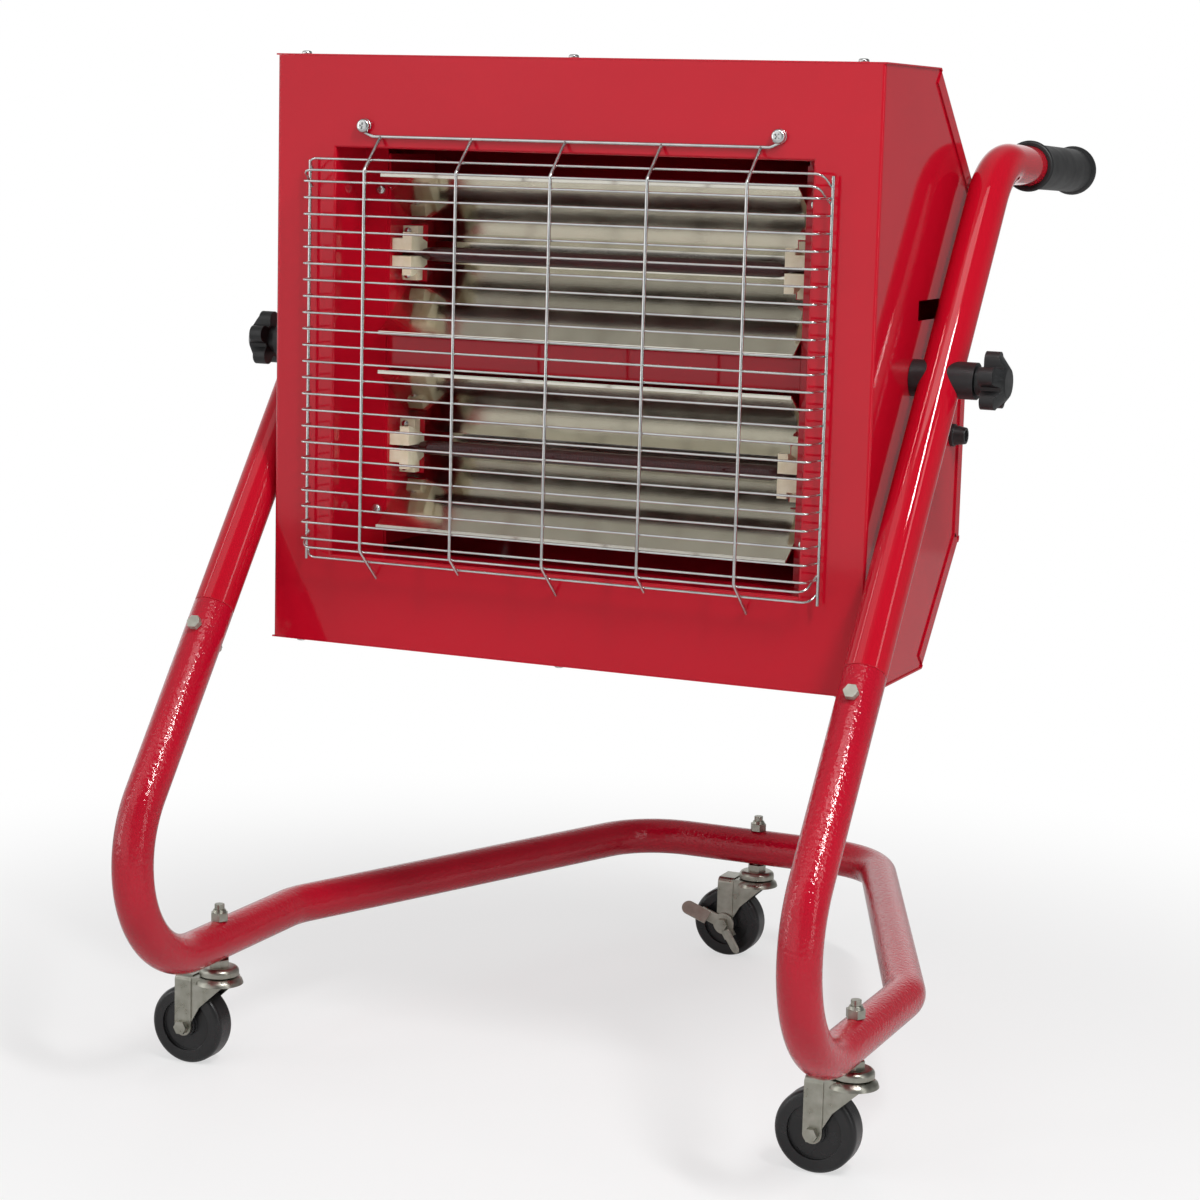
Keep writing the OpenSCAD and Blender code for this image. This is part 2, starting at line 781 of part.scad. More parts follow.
module right_side_panel() {
    color(red) difference() {
        side_panel();
        on_cab(half_w - 5, gland_depth, gland_h) rotate([0, 90, 0]) cylinder(r = gland_r - 2 + hole_gap, h = 10);
    }
}

// The wrap-around back: top, slopes, rear and bottom, with lips over the sides
module rear_cover() {
    side = half_w + lap_gap;
    color(red) difference() {
        profile_solid(0, -side - sheet, side + sheet);
        difference() {
            profile_solid(sheet, -side, side);
            on_cab(-side - 1, -1, -1) cube([2 * side + 2, 1, cab_h + 2]);
        }
        on_cab(-side - 2, -1, sheet) cube([2 * side + 4, sheet + 1, cab_h - 2 * sheet]);
        both_sides() {
            difference() {
                profile_solid(-1, side - 0.01, side + sheet + 1);
                for (e = lip_edges()) lip_strip(e[0], e[1], side - 1, side + sheet + 2);
            }
        }
        for (x = [-1, 0, 1]) on_cab(x * cab_screw_x, screw_flange / 2, -1)
            cylinder(r = screw_d / 2 + hole_gap, h = cab_h + 2);
        for (x = [-1, 1]) on_cab(x * switch_pitch / 2, cab_d - 5, switch_h)
            translate([-rocker_w / 2 - switch_bezel / 2, 0, -rocker_h / 2 - switch_bezel / 2])
                cube([rocker_w + switch_bezel, 10, rocker_h + switch_bezel]);
    }
}

// The three rear edges that carry lips, as pairs of profile corners
function lip_edges() = [for (i = [1:3]) [cab_profile(0)[i], cab_profile(0)[i + 1]]];

// A strip along one profile edge, notched at the folds
module lip_strip(a, b, from, to) {
    run = norm(b - a);
    angle = atan2(b[1] - a[1], b[0] - a[0]);
    notch = 3;
    on_cab(from, 0, 0) rotate([90, 0, 90]) linear_extrude(to - from)
        translate(a) rotate(angle) translate([notch, -1]) square([run - 2 * notch, lip_w + 1]);
}

module cabinet_screws() {
    color(bright) for (x = [-1, 0, 1]) {
        on_cab(x * cab_screw_x, screw_flange / 2, cab_h) pan_screw(small_head_d, small_head_h, screw_d, 8);
        on_cab(x * cab_screw_x, screw_flange / 2, 0) rotate([180, 0, 0])
            pan_screw(small_head_d, small_head_h, screw_d, 8);
    }
}

// Wire guard

// A cross wire with its ends bent back to the side wires; tilt turns the ends down
module cross_wire(off, h, tilt, reach, radius) {
    splay = atan2(guard_splay, reach);
    turn = 90 - splay;
    back = norm([reach, guard_splay]) - radius * tan(turn / 2);
    front = 2 * guard_half_w - 2 * radius * tan(turn / 2);
    on_cab(0, -off, h) rotate([-tilt, 0, 0])
        translate([-guard_half_w - guard_splay, reach, 0]) rotate([0, 0, splay]) rotate([90, 0, 0])
            bent_tube([[back, 0, turn, radius], [front, 0, turn, radius]], back, cross_d / 2, 0);
}

// A long front wire from the rail down the front; a hooked one ends in a hole of the panel
module stay_wire(x, hooked) {
    top_turn = atan2(top_slope[0], top_slope[1]);
    low_turn = atan2(low_slope[0], low_slope[1]);
    top_tan = wire_bend * tan(top_turn / 2);
    low_tan = wire_bend * tan(low_turn / 2);
    low_len = hooked ? norm(low_slope) + hook_len : low_tray_at + stay_d;
    on_cab(x, -rail_off, rail_h) rotate([-top_turn, 0, 0]) rotate([180, 0, 0]) rotate([0, 0, 90])
        bent_tube([[norm(top_slope) - top_tan, 180, top_turn, wire_bend],
                   [guard_front_h - top_tan - low_tan, 0, low_turn, wire_bend]],
                  low_len - low_tan, stay_d / 2, 0);
}

// Half of the mounting rail: it rises a little and ends in an open eye round its screw
module half_rail() {
    kick_tan = wire_bend * tan(rail_kick / 2);
    corner_x = guard_screw_x - kick_run * cos(rail_kick) + eye_r * sin(rail_kick);
    on_cab(0, -rail_off, rail_h) rotate([0, 90, 0])
        bent_tube([[corner_x - kick_tan, 180, rail_kick, wire_bend],
                   [kick_run - kick_tan, 0, 270, eye_r]], 0, stay_d / 2, 0);
}

// A cross wire welded inside the sloping part of the long wires; side is 1 above, -1 below
module slope_wire(side, slope, along, tilt) {
    seat = (stay_d + cross_d) / 2 - weld_sink;
    unit = slope / norm(slope);
    off = guard_depth - along * unit[0] - seat * unit[1];
    rise = along * unit[1] - seat * unit[0];
    reach = (off - side_wire_off + cross_d / 2) / cos(tilt);
    cross_wire(off, guard_mid + side * (guard_front_h / 2 + rise), side * tilt, reach, 2 * wire_bend);
}

module guard() {
    side_x = guard_half_w + guard_splay + (cross_d + stay_d) / 2 - weld_sink;
    first_h = guard_mid - cross_drop - (cross_count - 1) / 2 * cross_pitch;
    side_low = guard_bottom - 13;
    color(bright) {
        for (i = [0:cross_count - 1])
            cross_wire(cross_off, first_h + i * cross_pitch, 0, cross_off - side_wire_off + cross_d / 2, wire_bend);
        slope_wire(1, top_slope, 0, 33);
        slope_wire(1, top_slope, top_tray_at, 40);
        slope_wire(-1, low_slope, 4.5, 33);
        slope_wire(-1, low_slope, low_tray_at, 40);
        for (x = [-2:2]) stay_wire(x * stay_pitch, x % 2 == 0);
        both_sides() {
            on_cab(side_x, -side_wire_off, side_low) cylinder(d = stay_d, h = guard_top + 6 - side_low);
            half_rail();
        }
    }
}

module guard_screws() {
    color(bright) for (s = [-1, 1])
        on_cab(s * guard_screw_x, -stay_d - lap_gap, guard_screw_h) rotate([90, 0, 0])
            pan_screw(guard_head_d, guard_head_h, screw_d, 12);
}

// Lamp unit

bracket_screw_x = open_w / 2 - inner_flange / 2 - 4;
bracket_screw_off = bracket_h / 2 - bracket_screw_in;
bracket_screw_heights = [cab_h / 2 - bracket_screw_off, cab_h / 2 + bracket_screw_off];
holder_screw_z = (holder_h + holder_neck_h + 2) / 4;

module end_bracket() {
    tab_h = holder_h + 2;
    flange_x = open_w / 2 - 1;
    bottom = (cab_h - bracket_h) / 2;
    difference() {
        union() {
            on_cab(wall_x, open_return, bottom) cube([flange_x - wall_x, sheet, bracket_h]);
            on_cab(wall_x, open_return, bottom) cube([sheet, bracket_back - open_return, bracket_h]);
            for (h = lamp_heights) on_cab(wall_x - holder_w, holder_back, h - tab_h / 2)
                cube([holder_w + sheet, sheet, tab_h]);
        }
        for (h = bracket_screw_heights) on_cab(bracket_screw_x, open_return - 5, h) rotate([-90, 0, 0])
            cylinder(r = screw_d / 2 + hole_gap, h = 10);
        for (h = lamp_heights, s = [-1, 1]) holder_hole(h + s * holder_screw_z);
    }
}

module holder_hole(h) {
    on_cab(wall_x - ear_screw_in, holder_back - holder_d, h) rotate([-90, 0, 0])
        cylinder(r = screw_d / 2 + hole_gap, h = 2 * holder_d);
}

module right_end_bracket() { color(red) end_bracket(); }
module left_end_bracket() { color(red) mirror([1, 0, 0]) end_bracket(); }

module bracket_screws() {
    color(bright) both_sides() for (h = bracket_screw_heights)
        on_cab(bracket_screw_x, open_return - sheet, h) rotate([90, 0, 0])
            pan_screw(small_head_d, small_head_h, screw_d, 7);
}

// Strip between the reflectors, folded back at its edges
module centre_strip() {
    strip_h = lamp_pitch - mouth_h - strip_gap;
    color(red) on_cab(-wall_x, open_return, (cab_h - strip_h) / 2) difference() {
        cube([2 * wall_x, strip_fold, strip_h]);
        translate([-1, sheet, sheet]) cube([2 * wall_x + 2, strip_fold, strip_h - 2 * sheet]);
    }
}

// Reflector trough: hemmed lips, two flat flanks and a flat back, open at both ends
module reflector(h) {
    m = mouth_h / 2;
    f = reflector_flat / 2;
    t = reflector_t;
    hem = 3;
    on_cab(-wall_x, 0, h) rotate([90, 0, 90]) linear_extrude(2 * wall_x) polygon([
        [lip_depth, m], [lip_depth, m - hem], [lip_depth + t, m - hem], [lip_depth + t, m - 2 * t],
        [reflector_depth - t, f], [reflector_depth - t, -f],
        [lip_depth + t, 2 * t - m], [lip_depth + t, hem - m], [lip_depth, hem - m], [lip_depth, -m],
        [lip_depth + 2 * t, -m], [reflector_depth, -f - t / 2], [reflector_depth, f + t / 2],
        [lip_depth + 2 * t, m]
    ]);
}

module upper_reflector() { color("#c9ccce") reflector(lamp_heights[0]); }
module lower_reflector() { color("#c9ccce") reflector(lamp_heights[1]); }

// Lamp: a quartz tube drawn in at its ends, with a flat pinch and a round end cap at each
module lamp(h) {
    half = wall_x - holder_w - end_gap;
    r = lamp_d / 2;
    color("#5a0f16") on_cab(0, lamp_depth, h) {
        rotate([0, 90, 0]) rotate_extrude() polygon([
            [0, -half], [pinch_w / 2 + 0.4, -half], [r, neck_len - half], [r, half - neck_len],
            [pinch_w / 2 + 0.4, half], [0, half]
        ]);
        both_sides() {
            translate([half - 1, -pinch_w / 2, -pinch_t / 2]) cube([pinch_len + 1, pinch_w, pinch_t]);
            translate([half + pinch_len - 1, 0, 0]) rotate([0, 90, 0]) cylinder(d = pinch_t, h = cap_len);
        }
    }
}

module upper_lamp() { lamp(lamp_heights[0]); }
module lower_lamp() { lamp(lamp_heights[1]); }

// Ceramic holder: a slotted nose that narrows with the reflector, a neck, and an ear above and below
module lamp_holder(h) {
    slot = pinch_t + 0.4;
    face = holder_body_h / 2;
    tail = holder_back_h / 2;
    difference() {
        union() {
            on_cab(wall_x - holder_w, holder_back - holder_d, h) rotate([90, 0, 90]) linear_extrude(holder_nose)
                polygon([[0, -face], [4, -face], [holder_d, -tail], [holder_d, tail], [4, face], [0, face]]);
            on_cab(wall_x - holder_w, holder_back - holder_d, h - holder_neck_h / 2)
                cube([holder_w, holder_d - ear_d, holder_neck_h]);
            on_cab(wall_x - ear_w, holder_back - ear_d - 1, h - holder_h / 2)
                cube([ear_w, ear_d + 1, holder_h]);
        }
        on_cab(wall_x - holder_w - 1, holder_back - holder_d - 1, h - slot / 2)
            cube([holder_w + 2, holder_d + 1 - (holder_back - lamp_depth) + pinch_w / 2 + 0.3, slot]);
        for (s = [-1, 1]) holder_hole(h + s * holder_screw_z);
    }
}

module lamp_holders() { color(cream) both_sides() for (h = lamp_heights) lamp_holder(h); }

module holder_screws() {
    color(bright) both_sides() for (h = lamp_heights, s = [-1, 1])
        on_cab(wall_x - ear_screw_in, holder_back - ear_d - 1, h + s * holder_screw_z) rotate([90, 0, 0])
            pan_screw(ear_head_d, ear_head_h, screw_d - 0.4, 12);
}

// Mains inlet and controls

module cable_gland() {
    flange_t = 3;
    color(dark) on_cab(half_w, gland_depth, gland_h) rotate([0, 90, 0]) difference() {
        union() {
            translate([0, 0, -gland_in]) cylinder(r = gland_r - 2, h = gland_in + 1);
            cylinder(r = gland_r, h = flange_t);
            translate([0, 0, flange_t]) cylinder(r1 = gland_r - 1, r2 = gland_r - 2.5, h = gland_out - flange_t);
        }
        translate([0, 0, -gland_in - 1]) cylinder(d = gland_bore, h = gland_in + gland_out + 2);
    }
}

module gland_nut() {
    nut_t = 5;
    color(dark) on_cab(half_w - sheet - nut_t, gland_depth, gland_h) rotate([0, 90, 0]) difference() {
        hex_prism(2 * gland_r + 2, nut_t);
        translate([0, 0, -1]) cylinder(r = gland_r - 2 + slip_fit, h = nut_t + 2);
    }
}

// A place at the pivot of one rocker: side is -1 or 1
module at_rocker(side) {
    on_cab(side * switch_pitch / 2, cab_d - 4, switch_h) children();
}

module switch_housing(side) {
    w = rocker_w + 2 * switch_bezel;
    h = rocker_h + 2 * switch_bezel;
    bezel_t = 2;
    cut_w = rocker_w + 2 * move_gap;
    cut_h = rocker_h + 2 * move_gap;
    difference() {
        union() {
            on_cab(side * switch_pitch / 2 - w / 2, cab_d, switch_h - h / 2) cube([w, bezel_t, h]);
            on_cab(side * switch_pitch / 2, cab_d - switch_body_d, switch_h)
                translate([-cut_w / 2 - 1, 0, -cut_h / 2 - 1]) cube([cut_w + 2, switch_body_d + 1, cut_h + 2]);
        }
        on_cab(side * switch_pitch / 2 - cut_w / 2, cab_d - rocker_h / 2 - 5, switch_h - cut_h / 2)
            cube([cut_w, rocker_h + 10, cut_h]);
    }
}

module switch_housings() { color(dark) for (side = [-1, 1]) switch_housing(side); }

// Rocker: a drum on its pivot with two flats that stand proud, resting in the off position
module rocker(side) {
    r = rocker_h / 2;
    proud = 7;
    at_rocker(side) rotate([rocker_throw, 0, 0]) translate([-rocker_w / 2, 0, 0]) rotate([90, 0, 90])
        linear_extrude(rocker_w) intersection() {
            circle(r);
            polygon([[-r, -r], [proud - 2, -r], [proud + 2, -r * 0.85], [proud, 0], [proud + 2, r * 0.85],
                     [proud - 2, r], [-r, r]]);
        }
}

module upper_lamp_rocker() { color("#18181a") rocker(-1); }
module lower_lamp_rocker() { color("#18181a") rocker(1); }

// Terminal block: three barrels on a base, standing on the cabinet's bottom
module terminal_block() {
    edge = (terminal_base - barrel) / 2;
    color(cream) on_cab(terminal_at[0], terminal_at[1], sheet) {
        cube(terminal_base);
        for (i = [-1:1]) translate([edge[0] + i * barrel_pitch, edge[1], terminal_base[2]]) cube(barrel);
    }
}

// Tip-over switch: a small box with its mounting foot on the cabinet's bottom
module tip_switch() {
    edge = (tip_foot - tip_body) / 2;
    color(dark) on_cab(tip_at[0], tip_at[1], sheet) {
        cube(tip_foot);
        translate([edge[0], edge[1], tip_foot[2]]) cube(tip_body);
    }
}

base_frame();
left_upper_tube();
right_upper_tube();
left_grip();
right_grip();
joint_bolts();
joint_nuts();
inner_saddles();
outer_saddles();
caster_stems();
caster_nuts();
front_shell();
left_side_panel();
right_side_panel();
rear_cover();
cabinet_screws();
guard();
guard_screws();
left_end_bracket();
right_end_bracket();
bracket_screws();
centre_strip();
upper_reflector();
lower_reflector();
upper_lamp();
lower_lamp();
lamp_holders();
holder_screws();
pivot_studs();
cable_gland();
gland_nut();
switch_housings();
terminal_block();
tip_switch();
upper_lamp_rocker();
lower_lamp_rocker();
left_knob();
right_knob();
front_left_fork();
front_right_fork();
rear_fork();
front_left_axle();
front_right_axle();
rear_axle();
front_left_wheel();
front_right_wheel();
rear_wheel();
brake_lever();
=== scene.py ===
"""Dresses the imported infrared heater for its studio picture.

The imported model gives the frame: metres, +Z up, the lamps face -Y, the floor is z = 0.
Sizes in the classes below are millimetres and repeat the part's own values.
"""
import json
import logging
import math
from dataclasses import dataclass, field
from enum import Enum
from functools import cache
from typing import Any, Iterable, Sequence

import bmesh
import bpy
from bpy.types import ID, Material, Mesh, Node, NodeSocket, NodeTree, Object
from mathutils import Matrix, Vector


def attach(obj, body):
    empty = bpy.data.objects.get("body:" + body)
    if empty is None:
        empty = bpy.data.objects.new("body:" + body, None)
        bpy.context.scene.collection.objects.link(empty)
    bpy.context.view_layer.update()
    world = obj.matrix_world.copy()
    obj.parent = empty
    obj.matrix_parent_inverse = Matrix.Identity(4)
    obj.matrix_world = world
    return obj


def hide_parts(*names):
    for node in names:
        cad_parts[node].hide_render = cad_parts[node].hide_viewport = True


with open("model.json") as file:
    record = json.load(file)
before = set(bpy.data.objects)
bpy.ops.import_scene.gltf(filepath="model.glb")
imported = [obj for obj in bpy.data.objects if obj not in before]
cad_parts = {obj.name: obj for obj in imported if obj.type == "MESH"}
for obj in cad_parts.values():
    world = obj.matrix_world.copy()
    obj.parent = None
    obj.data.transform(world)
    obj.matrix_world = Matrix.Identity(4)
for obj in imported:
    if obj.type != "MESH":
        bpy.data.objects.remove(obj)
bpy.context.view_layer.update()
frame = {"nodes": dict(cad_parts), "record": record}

LOG = logging.getLogger("heater")
MM = 0.001
WHITE = (1.0, 1.0, 1.0, 1.0)

Path = list[Vector]
Point2 = tuple[float, float]
Point3 = tuple[float, float, float]
Place = tuple[Vector, Vector]
Run = tuple[Path, Sequence[float] | float]


class Slot(Enum):
    """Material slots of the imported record."""

    GLOSS_RED = "red_gloss"
    TEXTURED_RED = "red_textured"
    CHROME = "chrome_wire"
    ZINC = "zinc_steel"
    REFLECTOR = "reflector"
    RUBY = "ruby_glass"
    CERAMIC = "ceramic"
    RUBBER = "black_rubber"
    PLASTIC = "black_plastic"


class Side(Enum):
    """The two sides of the heater, as seen from the front."""

    LEFT = -1
    RIGHT = 1


# Materials


def linear(hex_colour: str) -> tuple[float, float, float, float]:
    """Turns an sRGB hex colour into a linear one.

    Args:
        hex_colour: Six hex digits.

    Returns:
        Linear red, green and blue with full alpha.
    """
    values = [int(hex_colour[i:i + 2], 16) / 255 for i in (0, 2, 4)]
    curve = [v / 12.92 if v <= 0.04045 else ((v + 0.055) / 1.055) ** 2.4 for v in values]
    return (*curve, 1.0)


def feed(node: Node, inputs: dict[str | int, Any]) -> Node:
    """Sets the inputs of a node.

    Args:
        node: The node.
        inputs: For each input, a socket to link from or a constant to set.

    Returns:
        The same node.
    """
    for key, value in inputs.items():
        if isinstance(value, NodeSocket):
            node.id_data.links.new(value, node.inputs[key])
        else:
            node.inputs[key].default_value = value
    return node


def add_node(tree: NodeTree, kind: str, inputs: dict[str | int, Any] | None = None, **settings: Any) -> Node:
    """Adds a node with its settings and links.

    Args:
        tree: The tree that gets the node.
        kind: The node's type name.
        inputs: For each input, a socket to link from or a constant to set.
        settings: Attributes to set on the node.

    Returns:
        The new node.
    """
    node = tree.nodes.new(kind)
    for key, value in settings.items():
        setattr(node, key, value)
    return feed(node, inputs or {})


def math_node(tree: NodeTree, operation: str, *terms: Any, clamp: bool = False) -> NodeSocket:
    """Adds a math node of some terms to a shader tree and returns its result, clamped to 0..1 if asked."""
    node = add_node(tree, "ShaderNodeMath", dict(enumerate(terms)), operation=operation, use_clamp=clamp)
    return node.outputs["Value"]


def eased(tree: NodeTree, value: NodeSocket, span: Point2, ends: Point2) -> NodeSocket:
    """Adds a smooth step of a value over a span to a shader tree and returns what runs between its ends."""
    node = add_node(tree, "ShaderNodeMapRange", {
        "Value": value, "From Min": span[0], "From Max": span[1], "To Min": ends[0], "To Max": ends[1]},
        interpolation_type="SMOOTHSTEP")
    return node.outputs["Result"]


PATCH_DETAIL, GRAIN_DETAIL = 4.0, 2.0
ROUGH_SPAN = (0.3, 0.7)
LEAST_ROUGH = 0.02


@dataclass(frozen=True)
class Finish:
    """A surface finish: what it is made of and how that catches the light.

    Pattern sizes are millimetres on the real surface.
    """

    name: str
    colour: str
    slot: Slot
    roughness: float
    metallic: float = 0.0
    ior: float = 1.5
    transmission: float = 0.0
    patch_mm: float = 40.0
    patch_colour: str = ""
    patch_share: float = 0.35
    rough_swing: float = 0.05
    grain_mm: float = 1.0
    grain_stretch: Point3 = (1.0, 1.0, 1.0)
    grain_height_mm: float = 0.01

    @cache
    def material(self) -> Material:
        """Builds the finish as a node material: colour patches, roughness swing and a fine bump.

        Returns:
            The material, made on first use.
        """
        made = bpy.data.materials.new(self.name)
        made.use_nodes = True
        tree = made.node_tree
        place = add_node(tree, "ShaderNodeTexCoord").outputs["Object"]
        patches = add_node(tree, "ShaderNodeTexNoise", {
            "Vector": place, "Scale": 1 / (self.patch_mm * MM), "Detail": PATCH_DETAIL}).outputs["Fac"]
        tint = add_node(tree, "ShaderNodeValToRGB", {"Fac": patches})
        stops = ((-1, self.patch_colour or self.colour), (1, self.colour))
        for element, (sign, colour) in zip(tint.color_ramp.elements, stops):
            element.position = 0.5 + sign * self.patch_share / 2
            element.color = linear(colour)
        swing = add_node(tree, "ShaderNodeMapRange", {
            "Value": patches, "From Min": ROUGH_SPAN[0], "From Max": ROUGH_SPAN[1],
            "To Min": max(self.roughness - self.rough_swing, LEAST_ROUGH),
            "To Max": self.roughness + self.rough_swing})
        turned = add_node(tree, "ShaderNodeMapping", {"Vector": place, "Scale": self.grain_stretch})
        grain = add_node(tree, "ShaderNodeTexNoise", {
            "Vector": turned.outputs["Vector"], "Scale": 1 / (self.grain_mm * MM), "Detail": GRAIN_DETAIL})
        bump = add_node(tree, "ShaderNodeBump", {
            "Height": grain.outputs["Fac"], "Distance": self.grain_height_mm * MM, "Strength": 1.0})
        feed(tree.nodes["Principled BSDF"], {
            "Base Color": tint.outputs["Color"], "Roughness": swing.outputs["Result"],
            "Normal": bump.outputs["Normal"], "Metallic": self.metallic, "IOR": self.ior,
            "Transmission Weight": self.transmission})
        return made


# Stove-enamelled sheet steel: deep clear red under a smooth gloss that mirrors the room softly
GLOSS_ENAMEL = Finish(
    "gloss_red_stove_enamel", "B60B22", Slot.GLOSS_RED, 0.06, ior=1.43, patch_mm=180,
    patch_colour="AE0B20", rough_swing=0.015, grain_mm=6.0, grain_height_mm=0.012)
# Powder-coated steel tube: the baked powder leaves an orange peel that breaks the highlights up.
# The peel is drawn a little coarser and deeper than it is, so that it still shows in the picture.
POWDER_COAT = Finish(
    "orange_peel_red_powder_coat", "AF0C25", Slot.TEXTURED_RED, 0.08, patch_mm=60, patch_colour="A50C23",
    rough_swing=0.03, grain_mm=2.8, grain_height_mm=0.5)
# Chromed steel wire: bright and slightly blurred by the drawing of the wire
CHROME_WIRE = Finish(
    "bright_chromed_wire", "D8D9D8", Slot.CHROME, 0.2, metallic=1.0, patch_mm=18,
    patch_colour="C2C3C3", rough_swing=0.06, grain_mm=1.2, grain_height_mm=0.01)
# Zinc-plated pressed steel: satin grey with dull warm patches
ZINC_PLATE = Finish(
    "zinc_plated_pressed_steel", "B4B3A9", Slot.ZINC, 0.33, metallic=1.0, patch_mm=9,
    patch_colour="9A998D", rough_swing=0.08, grain_mm=0.9, grain_height_mm=0.012)
# Barrel-plated bolts and lever: tumbled to a pale, dull face that hardly mirrors the red tubes
TUMBLED_ZINC = Finish(
    "barrel_tumbled_zinc", "CBCAC0", Slot.ZINC, 0.65, metallic=1.0, patch_mm=7,
    patch_colour="B3B2A7", rough_swing=0.06, grain_mm=0.8, grain_height_mm=0.015)
# Bright-rolled aluminium sheet: a mirror blurred by the faint lines of rolling along its length
ROLLED_ALUMINIUM = Finish(
    "bright_rolled_aluminium", "DEDBD0", Slot.REFLECTOR, 0.13, metallic=1.0, patch_mm=30,
    patch_colour="D2CFC4", rough_swing=0.03, grain_mm=2.0, grain_stretch=(0.03, 1.0, 1.0),
    grain_height_mm=0.01)
# Ruby quartz: clear glass stained dark red, glossy and almost opaque over a cold filament
RUBY_QUARTZ = Finish(
    "ruby_stained_quartz", "4A1517", Slot.RUBY, 0.06, ior=1.46, transmission=0.35, patch_mm=12,
    patch_colour="3C1012", rough_swing=0.02, grain_mm=8.0, grain_height_mm=0.004)
# Steatite: a dense cream ceramic with a dry-pressed, slightly waxy face
STEATITE = Finish(
    "dry_pressed_steatite", "E8E1C9", Slot.CERAMIC, 0.42, patch_mm=7, patch_colour="DDD4B6",
    rough_swing=0.08, grain_mm=0.8, grain_height_mm=0.03)
# Moulded soft vinyl: charcoal with a dull skin
GRIP_VINYL = Finish(
    "moulded_soft_vinyl", "1B1C1D", Slot.RUBBER, 0.5, patch_mm=14, patch_colour="161718",
    rough_swing=0.06, grain_mm=1.1, grain_height_mm=0.03)
# Glass-filled nylon: charcoal with a fine spark-eroded skin
GLASS_NYLON = Finish(
    "glass_filled_nylon", "1E1F20", Slot.PLASTIC, 0.42, patch_mm=10, patch_colour="18191A",
    rough_swing=0.07, grain_mm=0.7, grain_height_mm=0.03)
# Hard polyolefin wheel: black with a soft shine from the mould
WHEEL_POLYMER = Finish(
    "hard_black_polyolefin", "171718", Slot.PLASTIC, 0.3, patch_mm=16, patch_colour="1E1E1F",
    rough_swing=0.07, grain_mm=1.4, grain_height_mm=0.02)
# Tungsten: grey drawn wire
TUNGSTEN = Finish(
    "drawn_tungsten", "6E6A66", Slot.RUBY, 0.35, metallic=1.0, patch_mm=3, patch_colour="5C5854")


# Meshes

STRAIGHT = 1e-6  # radians: a smaller turn is no bend
CAD_MERGE, SHEET_MERGE = 2e-6, 1e-5  # metres: closer corners are one
FLAT_DEG = 0.4  # CAD faces that turn less are one
EDGE_DEG = 40.0  # CAD edges that turn more are rounded
SHEET_DEG = 30.0  # folds that turn more stay sharp


def point(x: float, y: float, z: float) -> Vector:
    """Returns a point given in millimetres as metres."""
    return Vector((x, y, z)) * MM


def filleted(corners: Sequence[Vector], radii: Sequence[float], step_deg: float = 6.0) -> Path:
    """Rounds the inner corners of a path with arcs.

    Args:
        corners: The path's corners in metres.
        radii: Bend radius in millimetres at each inner corner.
        step_deg: Largest angle between two samples of an arc.

    Returns:
        The points of the rounded path.
    """
    path = [corners[0]]
    for before, here, after, radius in zip(corners, corners[1:], corners[2:], radii):
        arrive, leave = (here - before).normalized(), (after - here).normalized()
        turn = arrive.angle(leave)
        if turn < STRAIGHT:
            continue
        reach = radius * MM * math.tan(turn / 2)
        start = here - arrive * reach
        inward = (leave - arrive * arrive.dot(leave)).normalized()
        centre = start + inward * radius * MM
        count = max(2, math.ceil(math.degrees(turn) / step_deg))
        for k in range(count + 1):
            a = turn * k / count
            path.append(centre + (arrive * math.sin(a) - inward * math.cos(a)) * radius * MM)
    return [*path, corners[-1]]


def linked(name: str, data: ID) -> Object:
    """Makes an object and links it to the scene.

    Args:
        name: The object's name.
        data: Its mesh, light or camera.

    Returns:
        The new object.
    """
    made = bpy.data.objects.new(name, data)
    bpy.context.scene.collection.objects.link(made)
    return made


def mesh_of(name: str, work: bmesh.types.BMesh) -> Mesh:
    """Turns a bmesh into a mesh and frees it.

    Args:
        name: The mesh's name.
        work: The bmesh.

    Returns:
        The new mesh.
    """
    mesh = bpy.data.meshes.new(name)
    work.to_mesh(mesh)
    work.free()
    return mesh


def turned_out(corners: Path, side: int) -> Path:
    """Returns a face's corners, in reverse order on the negative side."""
    return corners if side > 0 else corners[::-1]


def line_mesh(name: str, runs: Iterable[Run]) -> Mesh:
    """Makes a mesh of edge chains with a radius at each point.

    Args:
        name: The mesh's name.
        runs: Pairs of a path and its radius, or its radii, in millimetres.

    Returns:
        The new mesh with a point attribute named thickness, in metres.
    """
    points: Path = []
    edges: list[tuple[int, int]] = []
    radii: list[float] = []
    for path, radius in runs:
        first = len(points)
        points += path
        edges += [(first + i, first + i + 1) for i in range(len(path) - 1)]
        each = [radius] * len(path) if isinstance(radius, (int, float)) else radius
        radii += [r * MM for r in each]
    mesh = bpy.data.meshes.new(name)
    mesh.from_pydata(points, edges, [])
    mesh.attributes.new("thickness", "FLOAT", "POINT").data.foreach_set("value", radii)
    return mesh


def run_tree(name: str, mesh: Mesh, tree: NodeTree, values: dict[str, Any]) -> Mesh:
    """Runs a geometry tree on a mesh.

    Args:
        name: Name of the resulting mesh.
        mesh: The mesh that goes in.
        tree: The geometry node tree.
        values: The tree's named inputs.

    Returns:
        A plain mesh.
    """
    holder = linked(name + "_source", mesh)
    modifier = holder.modifiers.new("shape", "NODES")
    modifier.node_group = tree
    for item in tree.interface.items_tree:
        if item.item_type == "SOCKET" and item.in_out == "INPUT" and item.name in values:
            modifier[item.identifier] = values[item.name]
    return baked(holder, name)


